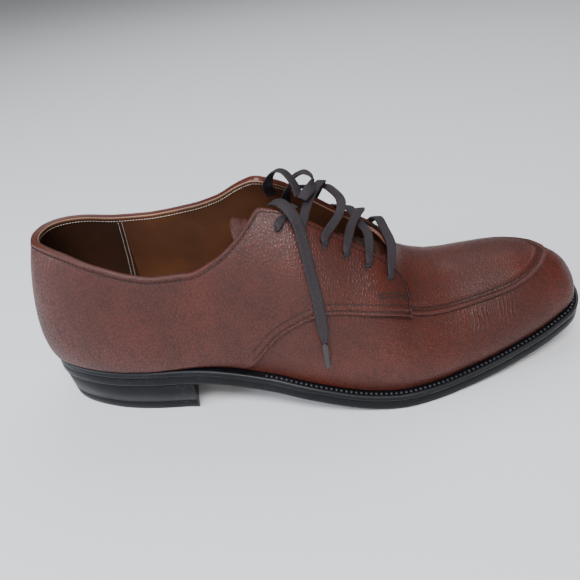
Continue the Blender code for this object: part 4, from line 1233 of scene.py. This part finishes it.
def lace_route(start, end, middle):
    """Points and facing of a lace from an outer eyelet over the throat to an inner one."""
    height = LACE_THICK / 2 + 2 * CLEARANCE
    path = []
    ups = []
    slim = []
    for (s, phi), order in ((start, 1), (end, -1)):
        station = np.array([s])
        edge = float(facing_angle(station)[0])
        rim = quarter_lift(station) + QUARTER_LEATHER
        halfway = np.array([phi + (edge - phi) * 0.5])
        first = np.array([phi + (edge - phi) * 0.12])
        points = [skin(station, np.array([phi]), rim - 1.2 * MM)[0],
                  skin(station, first, rim + height)[0],
                  skin(station, halfway, rim + height + 0.8 * MM)[0]]
        out = skin(station, np.array([phi]), rim + 2 * height)[0] - skin(station, np.array([phi]), rim)[0]
        out = out / np.linalg.norm(out)
        path.append(points[::order])
        ups.append([out, out, out][::order])
        slim.append([0.5, 0.6, 0.75][::order])
    path = path[0] + [np.array(m) * MM for m in middle] + path[1]
    ups = ups[0] + [(0, 0, 1)] * len(middle) + ups[1]
    return path, ups, slim[0] + [0.9] * len(middle) + slim[1]


def build_crossings(finish):
    """Laces from eyelet to eyelet over the throat."""
    near = eyelet_stations(False)
    far = eyelet_stations(True)
    for name, node, start, end, middle in CROSSINGS:
        path, ups, slim = lace_route(near[start], far[end], middle)
        obj = ribbon(name, path, ups, finish, slim)[0]
        dress(obj, "lace_cotton", *([node] if node else []))


def build_cords(finishes):
    """The two slack loops at the top and the end that hangs down with its tag."""
    cotton, plastic = finishes
    end = np.array(LACE_END) * MM
    run = (Vector(end[-1]) - Vector(end[-2])).normalized()
    tag = build_tag(Vector(end[-1]), run, plastic)
    for name, node, drawn, ups, slim, far_end, lay, pieces in (
            ("slack_loop_back", "lace_loop_back", LOOP_BACK, BACK_FACING, None, "object", "loose", ()),
            ("slack_loop_front", "lace_loop_front", LOOP_FRONT, FRONT_FACING, None, "object", "loose", ()),
            ("hanging_lace_end", "lace_end", LACE_END, END_FACING, END_SLIM, "fitting", "hanging", (tag,))):
        obj, line, length = ribbon(name, np.array(drawn) * MM, ups, cotton, slim)
        dress(obj, "lace_cotton", node)
        route = place(line)


def build_tag(tip, run, finish):
    """Narrow tag pressed on the lace's end."""
    turn = run.to_track_quat("Z", "Y").to_matrix()
    verts = []
    for height, share in TAG_PROFILE:
        for k in range(RING_POINTS):
            a = math.tau * k / RING_POINTS
            radius = TAG_RADIUS * share
            spot = (math.cos(a) * radius * 1.15, math.sin(a) * radius * 0.85, height * MM + CLEARANCE)
            verts.append(tip + turn @ Vector(spot))
    faces = tube_faces(len(TAG_PROFILE), RING_POINTS)
    obj = mesh_object("lace_tag_dressed", verts, faces, [finish])
    dress(obj, "tag_plastic", "lace_tag")
    return obj


def build_sewing_tree():
    """Geometry nodes that lay small rounded stitches along the lines of a mesh."""
    tree = bpy.data.node_groups.new("sewn_lines", "GeometryNodeTree")
    face = tree.interface
    face.new_socket("Geometry", in_out="INPUT", socket_type="NodeSocketGeometry")
    for label, value in (("Pitch", 0.0022), ("Stitch Length", 0.0017), ("Thread Width", 0.0007)):
        socket = face.new_socket(label, in_out="INPUT", socket_type="NodeSocketFloat")
        socket.default_value = value
    face.new_socket("Material", in_out="INPUT", socket_type="NodeSocketMaterial")
    face.new_socket("Geometry", in_out="OUTPUT", socket_type="NodeSocketGeometry")
    make = NodeMaker(tree)
    start = make.add("NodeGroupInput")
    curve = make.add("GeometryNodeMeshToCurve", {"Mesh": start.outputs["Geometry"]})
    points = make.add("GeometryNodeCurveToPoints", {"Curve": curve.outputs["Curve"],
                                                    "Length": start.outputs["Pitch"]}, mode="LENGTH")
    ball = make.add("GeometryNodeMeshUVSphere", {"Segments": 8, "Rings": 5, "Radius": 0.5})
    thread = start.outputs["Thread Width"]
    size = make.add("ShaderNodeCombineXYZ", {0: thread, 1: thread, 2: start.outputs["Stitch Length"]})
    placed = make.add("GeometryNodeInstanceOnPoints", {"Points": points.outputs["Points"],
                                                       "Instance": ball.outputs["Mesh"],
                                                       "Rotation": points.outputs["Rotation"],
                                                       "Scale": size.outputs[0]})
    real = make.add("GeometryNodeRealizeInstances", {"Geometry": placed.outputs["Instances"]})
    smooth_faces = make.add("GeometryNodeSetShadeSmooth", {"Geometry": real.outputs["Geometry"]})
    finish = make.add("GeometryNodeSetMaterial", {"Geometry": smooth_faces.outputs[0],
                                                  "Material": start.outputs["Material"]})
    make.add("NodeGroupOutput", {"Geometry": finish.outputs["Geometry"]})
    return tree


def sew(name, lines, finish, tree, stitch, slot):
    """Stitches along lines drawn from the heel's back edge, as one plain mesh."""
    verts = []
    edges = []
    for line in lines:
        first = len(verts)
        verts += place(line).tolist()
        edges += [(k, k + 1) for k in range(first, len(verts) - 1)]
    mesh = bpy.data.meshes.new(name + "_lines")
    mesh.from_pydata(verts, edges, [])
    obj = bpy.data.objects.new(name, mesh)
    bpy.context.scene.collection.objects.link(obj)
    sewn = obj.modifiers.new("sewing", "NODES")
    sewn.node_group = tree
    wanted = dict(zip(("Pitch", "Stitch Length", "Thread Width"), (part * MM for part in stitch)))
    wanted["Material"] = finish
    for item in tree.interface.items_tree:
        if item.item_type == "SOCKET" and item.in_out == "INPUT" and item.name in wanted:
            sewn[item.identifier] = wanted[item.name]
    graph = bpy.context.evaluated_depsgraph_get()
    graph.update()
    result = bpy.data.meshes.new_from_object(obj.evaluated_get(graph))
    obj.modifiers.remove(sewn)
    obj.data = result
    result.name = name
    dress(obj, slot)


def line_beside(points, edge, distance):
    """Line that follows an edge at a distance over the rows of a grid."""
    away = distance_to(points, edge)
    out = []
    for row, far, here in zip(points, away, np.broadcast_to(distance, len(points))):
        out.append([np.interp(here, far, row[:, k]) for k in range(3)])
    return np.array(out)


def quarter_rows(inner):
    """Stitch rows of one quarter: two along the lower edge, one at the front and one at the facing."""
    s, phi = quarter_grid(inner, rows=300, middle=60)
    face = on_quarter(s[:, None], phi, 0.05 * MM)
    low, front, throat = quarter_edges(inner)
    along = along_at(s)
    half = face.shape[1] // 2
    flap = along > ROWS_START
    before_front = distance_to(face, front)
    rows = []
    for distance in (ROW_NEAR, ROW_FAR):
        keep = flap & (before_front[:, 8] > 1.4 * MM)
        rows.append(line_beside(face[keep][:, :half], low, distance))
    keep = before_front[:, -8] > 1.6 * MM
    inset = COLLAR_ROW + (FACING_ROW - COLLAR_ROW) * ease(along[keep], *ROW_SHIFT)
    rows.append(line_beside(face[keep][:, :half - 1:-1], throat, inset))
    front_line = []
    for j in range(face.shape[1]):
        far = before_front[:, j]
        front_line.append([np.interp(FRONT_ROW, far[::-1], face[::-1, j, k]) for k in range(3)])
    front_line = np.array(front_line)
    inside = (distance_to(front_line, low) > 1.9 * MM) & (distance_to(front_line, throat) > 1.5 * MM)
    rows.append(front_line[inside])
    return rows


def stay_rows():
    """Two short rows that hold the quarter down near its front, closed at their back end."""
    rows = []
    ends = []
    for (a, rise_a), (b, rise_b) in STAY_ROWS:
        s = station_at(np.linspace(a, b, 24))
        phi = phi_at_rise(s, np.linspace(rise_a, rise_b, 24))
        rows.append(skin(s, phi, quarter_lift(s) + QUARTER_LEATHER + 0.14 * MM))
        ends.append(rows[-1][0])
    rows.append(np.linspace(ends[0], ends[1], 5))
    return rows


def lining_row(drop):
    """Row of stitches on the lining below the collar, round the back."""
    s = np.linspace(-LINING_REACH, LINING_REACH, 300)
    top = quarter_top(np.mod(s, 2))
    below = top[:, None] - np.linspace(0, 0.6, 80)[None]
    face = skin(np.mod(s, 2)[:, None], below, ON_LINING)
    fall = arc_from(face, 1)
    return np.array([[np.interp(drop, fall[i], face[i, :, k]) for k in range(3)] for i in range(len(s))])


def heel_lining_rows():
    """Two rows down the lining on the inner side of the heel."""
    rows = []
    for along in HEEL_ROWS:
        s = 2 - float(station_at(along, inner=True))
        top = float(quarter_top(np.array([s]))[0])
        phi = np.linspace(top - 0.05, 0.15, 60)
        lean = s + 0.011 * np.linspace(0, 1, 60)
        rows.append(skin(lean, phi, ON_LINING))
    return rows


def welt_line(inset, lift):
    """Line on the welt's top from the waist round the toe."""
    s = np.linspace(*WELT_ROW_SPAN, 700)
    flat = inset_edge(s, np.full(len(s), inset))[0]
    height = sole_under(flat[:, 0]) + OUTSOLE_THICK + CLEARANCE + WELT_THICK + lift
    return np.column_stack([flat, height])


def build_stitching(tree, finishes):
    """All the rows of stitches."""
    thread, pale, coarse = finishes
    for inner in (False, True):
        name = "stitches_quarter_inner" if inner else "stitches_quarter_outer"
        sew(name, quarter_rows(inner), thread, tree, FINE_STITCH, "grain_leather")
    sew("stitches_stay", stay_rows(), thread, tree, STAY_STITCH, "grain_leather")
    u, across = apron_grid(middle=60)
    seat = CLEARANCE + FACET_SAG + APRON_LEATHER - 0.4 * MM
    face = skin(u[:, None], across, seat)
    half = face.shape[1] // 2
    rows = []
    edge = apron_seam()
    for distance in APRON_ROWS:
        keep = arc_from(face, 1)[:, half] > distance * 1.4
        outer = line_beside(face[keep][:, :half], edge, distance)
        inner = line_beside(face[keep][:, :half:-1], edge, distance)
        rows.append(np.concatenate([outer, inner[::-1]]))
    sew("stitches_apron", rows, thread, tree, FINE_STITCH, "grain_leather")
    sew("stitches_lining", [lining_row(LINING_ROW)], pale, tree, LINING_STITCH, "lining_leather")
    sew("stitches_heel_lining", heel_lining_rows(), pale, tree, HEEL_LINING_STITCH, "lining_leather")
    sew("stitches_welt", [welt_line(WELT_ROW, -WELT_ROW_SUNK)], coarse, tree, WELT_STITCH, "sole_leather")


def build_eyelets(finish):
    """Painted shade for the blind eyelets' holes: each a dark shallow disc with a turned edge."""
    verts = []
    faces = []
    for inner in (False, True):
        for s, phi in eyelet_stations(inner):
            station = np.array([s])
            lift = quarter_lift(station) + QUARTER_LEATHER
            low = skin(station, np.array([phi]), lift + 0.02 * MM)[0]
            high = skin(station, np.array([phi]), lift + 1 * MM)[0]
            turn = (Vector(high) - Vector(low)).to_track_quat("Z", "Y").to_matrix()
            first = len(verts)
            for radius, rise in EYELET_PROFILE:
                for k in range(RING_POINTS):
                    a = math.tau * k / RING_POINTS
                    spot = Vector((radius * math.cos(a), radius * math.sin(a), rise)) * MM
                    verts.append(Vector(low) + turn @ spot)
            faces += tube_faces(len(EYELET_PROFILE), RING_POINTS, first, ends=False)
    obj = mesh_object("eyelet_shade_discs", verts, faces, [finish])
    dress(obj, "grain_leather")


def build_knot_strand(finish):
    """Short strand from the near top eyelet under the hanging end to the crossing."""
    s, phi = eyelet_stations(False)[-1]
    station = np.array([s])
    rim = quarter_lift(station) + QUARTER_LEATHER
    base = skin(station, np.array([phi]), rim - 1.0 * MM)[0]
    over = skin(station, np.array([phi + 0.03]), rim + 1.4 * MM)[0]
    far = np.array(STRAND_END) * MM
    mid = (over + far) / 2 + np.array([0, 0, 1.2]) * MM
    obj = ribbon("lace_short_strand", [base, over, mid, far], STRAND_FACING, finish, STRAND_SLIM)[0]
    dress(obj, "lace_cotton")


def add_light(name, spot, aim, size, power, colour):
    """Soft area light that faces a point."""
    data = bpy.data.lights.new(name, "AREA")
    data.shape = "RECTANGLE"
    data.size, data.size_y = size
    data.energy = power
    data.color = colour
    lamp = bpy.data.objects.new(name, data)
    lamp.location = spot
    lamp.rotation_euler = (Vector(aim) - Vector(spot)).to_track_quat("-Z", "Y").to_euler()
    bpy.context.scene.collection.objects.link(lamp)


def build_stage():
    """Pale floor, soft light and the camera at the photograph's angle."""
    scene = bpy.context.scene
    mesh = bpy.data.meshes.new("floor")
    reach = FLOOR_REACH
    corners = [(-reach, -reach), (reach, -reach), (reach, reach), (-reach, reach)]
    mesh.from_pydata([(*corner, -FLOOR_GAP) for corner in corners], [], [(0, 1, 2, 3)])
    floor = bpy.data.objects.new("floor", mesh)
    _, shader, _ = new_material("pale_floor")
    shader.inputs["Base Color"].default_value = (0.8, 0.8, 0.81, 1)
    shader.inputs["Roughness"].default_value = 0.6
    shader.inputs["Specular IOR Level"].default_value = 0.2
    mesh.materials.append(bpy.data.materials["pale_floor"])
    scene.collection.objects.link(floor)
    world = bpy.data.worlds.new("studio")
    world.use_nodes = True
    sky = world.node_tree.nodes["Background"]
    sky.inputs["Color"].default_value = (0.93, 0.96, 1.0, 1)
    sky.inputs["Strength"].default_value = SKY_STRENGTH
    scene.world = world
    for name, values in LIGHTS.items():
        add_light(name, *values)
    pose = scene.derby_stage
    yaw, pitch, roll = pose.yaw, pose.pitch, pose.roll
    ahead = Vector((math.cos(pitch) * math.sin(yaw), math.cos(pitch) * math.cos(yaw), math.sin(pitch)))
    side = ahead.cross(Vector((0, 0, 1))).normalized()
    up = side.cross(ahead)
    across = side * math.cos(roll) + up * math.sin(roll)
    over = -side * math.sin(roll) + up * math.cos(roll)
    data = bpy.data.cameras.new("photo_camera")
    data.lens = pose.lens
    data.sensor_width = 36
    camera = bpy.data.objects.new("photo_camera", data)
    turn = Matrix((across, over, -ahead)).transposed().to_4x4()
    camera.matrix_world = Matrix.Translation(Vector(pose.camera)) @ turn
    scene.collection.objects.link(camera)
    scene.camera = camera


def finishes():
    """The shoe's materials by name, made at the first call."""
    if "cut_edge" in bpy.data.materials:
        return bpy.data.materials
    groups = {"grain": build_grain_group(), "wear": build_wear_group(), "weave": build_weave_group()}
    choice = bpy.context.scene.derby_leather
    brown = tuple(choice.colour)
    size = 1 / choice.grain
    depth = choice.grain_depth
    leather("vamp_leather", brown, groups, size, depth, marks=WRINKLES)
    leather("flap_leather", shade(brown, 0.95), groups, size * 0.95, depth, (1.25, 1.0, 0.72))
    leather("apron_leather", shade(brown, 1.02), groups, size * 1.05, depth)
    leather("tongue_leather", shade(brown, 0.8), groups, size, depth, rough=0.5)
    plain_finish("collar_leather", shade(brown, 0.85), groups, 0.42)
    for name, (colour, *rest) in PLAIN_FINISHES.items():
        plain_finish(name, colour, groups, *rest)
    braid_finish("woven_cotton", (0.0155, 0.0095, 0.0125), groups)
    return bpy.data.materials


class DerbyLeather(bpy.types.PropertyGroup):
    """Finish of the leather."""

    colour: bpy.props.FloatVectorProperty(
        name="Colour", description="Colour of the grained leather", default=(0.080, 0.0112, 0.0042),
        subtype="COLOR", size=3, min=0, max=1)
    grain: bpy.props.FloatProperty(
        name="Grain", description="Width of one pebble of the grain", default=0.00165,
        unit="LENGTH", subtype="DISTANCE", min=0.0003, max=0.005, precision=5)
    grain_depth: bpy.props.FloatProperty(
        name="Grain depth", description="Depth of the grain's valleys", default=0.00018,
        unit="LENGTH", subtype="DISTANCE", min=0, max=0.001, precision=5)


class DerbyStage(bpy.types.PropertyGroup):
    """Camera that sees the shoe as the photograph does."""

    camera: bpy.props.FloatVectorProperty(
        name="Camera", description="Where the camera stands", default=(0.1049, -0.2750, 0.2331),
        unit="LENGTH", subtype="TRANSLATION", size=3)
    lens: bpy.props.FloatProperty(
        name="Lens", description="Focal length in millimetres on a sensor 36 wide", default=36.0, min=10)
    yaw: bpy.props.FloatProperty(
        name="Yaw", description="Turn from facing the inner side", default=-0.0212,
        unit="ROTATION", subtype="ANGLE")
    pitch: bpy.props.FloatProperty(
        name="Pitch", description="Tilt below the horizon", default=-0.5916,
        unit="ROTATION", subtype="ANGLE")
    roll: bpy.props.FloatProperty(
        name="Roll", description="Turn about the view's own line", default=-0.1232,
        unit="ROTATION", subtype="ANGLE")


class DERBY_OT_upper(bpy.types.Operator):
    """Dress the upper, quarters, apron, tongue and collar edge"""

    bl_idname = "derby.upper"
    bl_label = "Dress the upper"

    def execute(self, context):
        """Build the leather pieces."""
        coat = finishes()
        build_upper([coat["vamp_leather"], coat["calf_lining"], coat["cut_edge"], coat["heel_lining"]])
        flap = [coat["flap_leather"], coat["calf_lining"], coat["cut_edge"]]
        for inner in (False, True):
            build_quarter(inner, flap)
            collar_cap(inner, [coat["collar_leather"], coat["calf_lining"], coat["cream_piping"]])
        build_apron([coat["apron_leather"], coat["calf_lining"], coat["apron_leather"]])
        build_tongue([coat["tongue_leather"], coat["calf_lining"], coat["cut_edge"]])
        return {"FINISHED"}


class DERBY_OT_sole(bpy.types.Operator):
    """Dress the insole, welt, outsole and heel"""

    bl_idname = "derby.sole"
    bl_label = "Dress the sole and heel"

    def execute(self, context):
        """Build the pieces under the foot."""
        coat = finishes()
        low = OUTSOLE_THICK + WELT_THICK + 2 * CLEARANCE
        sole_plate("insole_dressed", lambda s: margin(s) + VAMP_WALL + 2 * CLEARANCE, low,
                   low + INSOLE_THICK, INSOLE_ROUNDS, [coat["insole_leather"]] * 3, "lining_leather",
                   "insole")
        sole_plate("outsole_dressed", np.zeros_like, 0, OUTSOLE_THICK, OUTSOLE_ROUNDS,
                   [coat["sole_black"], coat["sole_under"], coat["sole_black"]], "sole_leather", "outsole")
        build_welt([coat["sole_black"], coat["welt_lip_painted_highlight"]])
        build_heel([coat["sole_black"]])
        return {"FINISHED"}


class DERBY_OT_laces(bpy.types.Operator):
    """Lace the shoe and lay its loops and loose end"""

    bl_idname = "derby.laces"
    bl_label = "Dress the laces"

    def execute(self, context):
        """Build crossings, cords and eyelets."""
        coat = finishes()
        build_crossings(coat["woven_cotton"])
        build_cords((coat["woven_cotton"], coat["pressed_tag"]))
        build_knot_strand(coat["woven_cotton"])
        build_eyelets(coat["eyelet_painted_shade"])
        return {"FINISHED"}


class DERBY_OT_stitches(bpy.types.Operator):
    """Sew the rows of stitches"""

    bl_idname = "derby.stitches"
    bl_label = "Sew the stitches"

    def execute(self, context):
        """Lay the stitches with geometry nodes."""
        coat = finishes()
        build_stitching(build_sewing_tree(), (coat["thread"], coat["pale_thread"], coat["welt_thread"]))
        return {"FINISHED"}


class DERBY_OT_stage(bpy.types.Operator):
    """Set the floor, the lights and the camera"""

    bl_idname = "derby.stage"
    bl_label = "Set the stage"

    def execute(self, context):
        """Build the studio."""
        build_stage()
        return {"FINISHED"}


class DERBY_PT_panel(bpy.types.Panel):
    """The shoe's settings and its steps"""

    bl_idname = "DERBY_PT_panel"
    bl_label = "Split Toe Derby"
    bl_space_type = "VIEW_3D"
    bl_region_type = "UI"
    bl_category = "Derby"

    def draw(self, context):
        """List the settings and the operators in their order."""
        layout = self.layout
        for group in (context.scene.derby_leather, context.scene.derby_stage):
            for name in group.__annotations__:
                layout.prop(group, name)
        for step in STEPS:
            layout.operator(step.bl_idname)


STEPS = (DERBY_OT_upper, DERBY_OT_sole, DERBY_OT_laces, DERBY_OT_stitches, DERBY_OT_stage)
CLASSES = (DerbyLeather, DerbyStage, *STEPS, DERBY_PT_panel)


def register():
    """Add the classes and their settings."""
    for item in CLASSES:
        bpy.utils.register_class(item)
    bpy.types.Scene.derby_leather = bpy.props.PointerProperty(type=DerbyLeather)
    bpy.types.Scene.derby_stage = bpy.props.PointerProperty(type=DerbyStage)


def unregister():
    """Remove the classes and their settings."""
    del bpy.types.Scene.derby_stage
    del bpy.types.Scene.derby_leather
    for item in reversed(CLASSES):
        bpy.utils.unregister_class(item)


def main():
    """Dress the shoe step by step."""
    register()
    bpy.ops.derby.upper()
    bpy.ops.derby.sole()
    bpy.ops.derby.laces()
    bpy.ops.derby.stitches()
    bpy.ops.derby.stage()


if __name__ == "__main__":
    main()
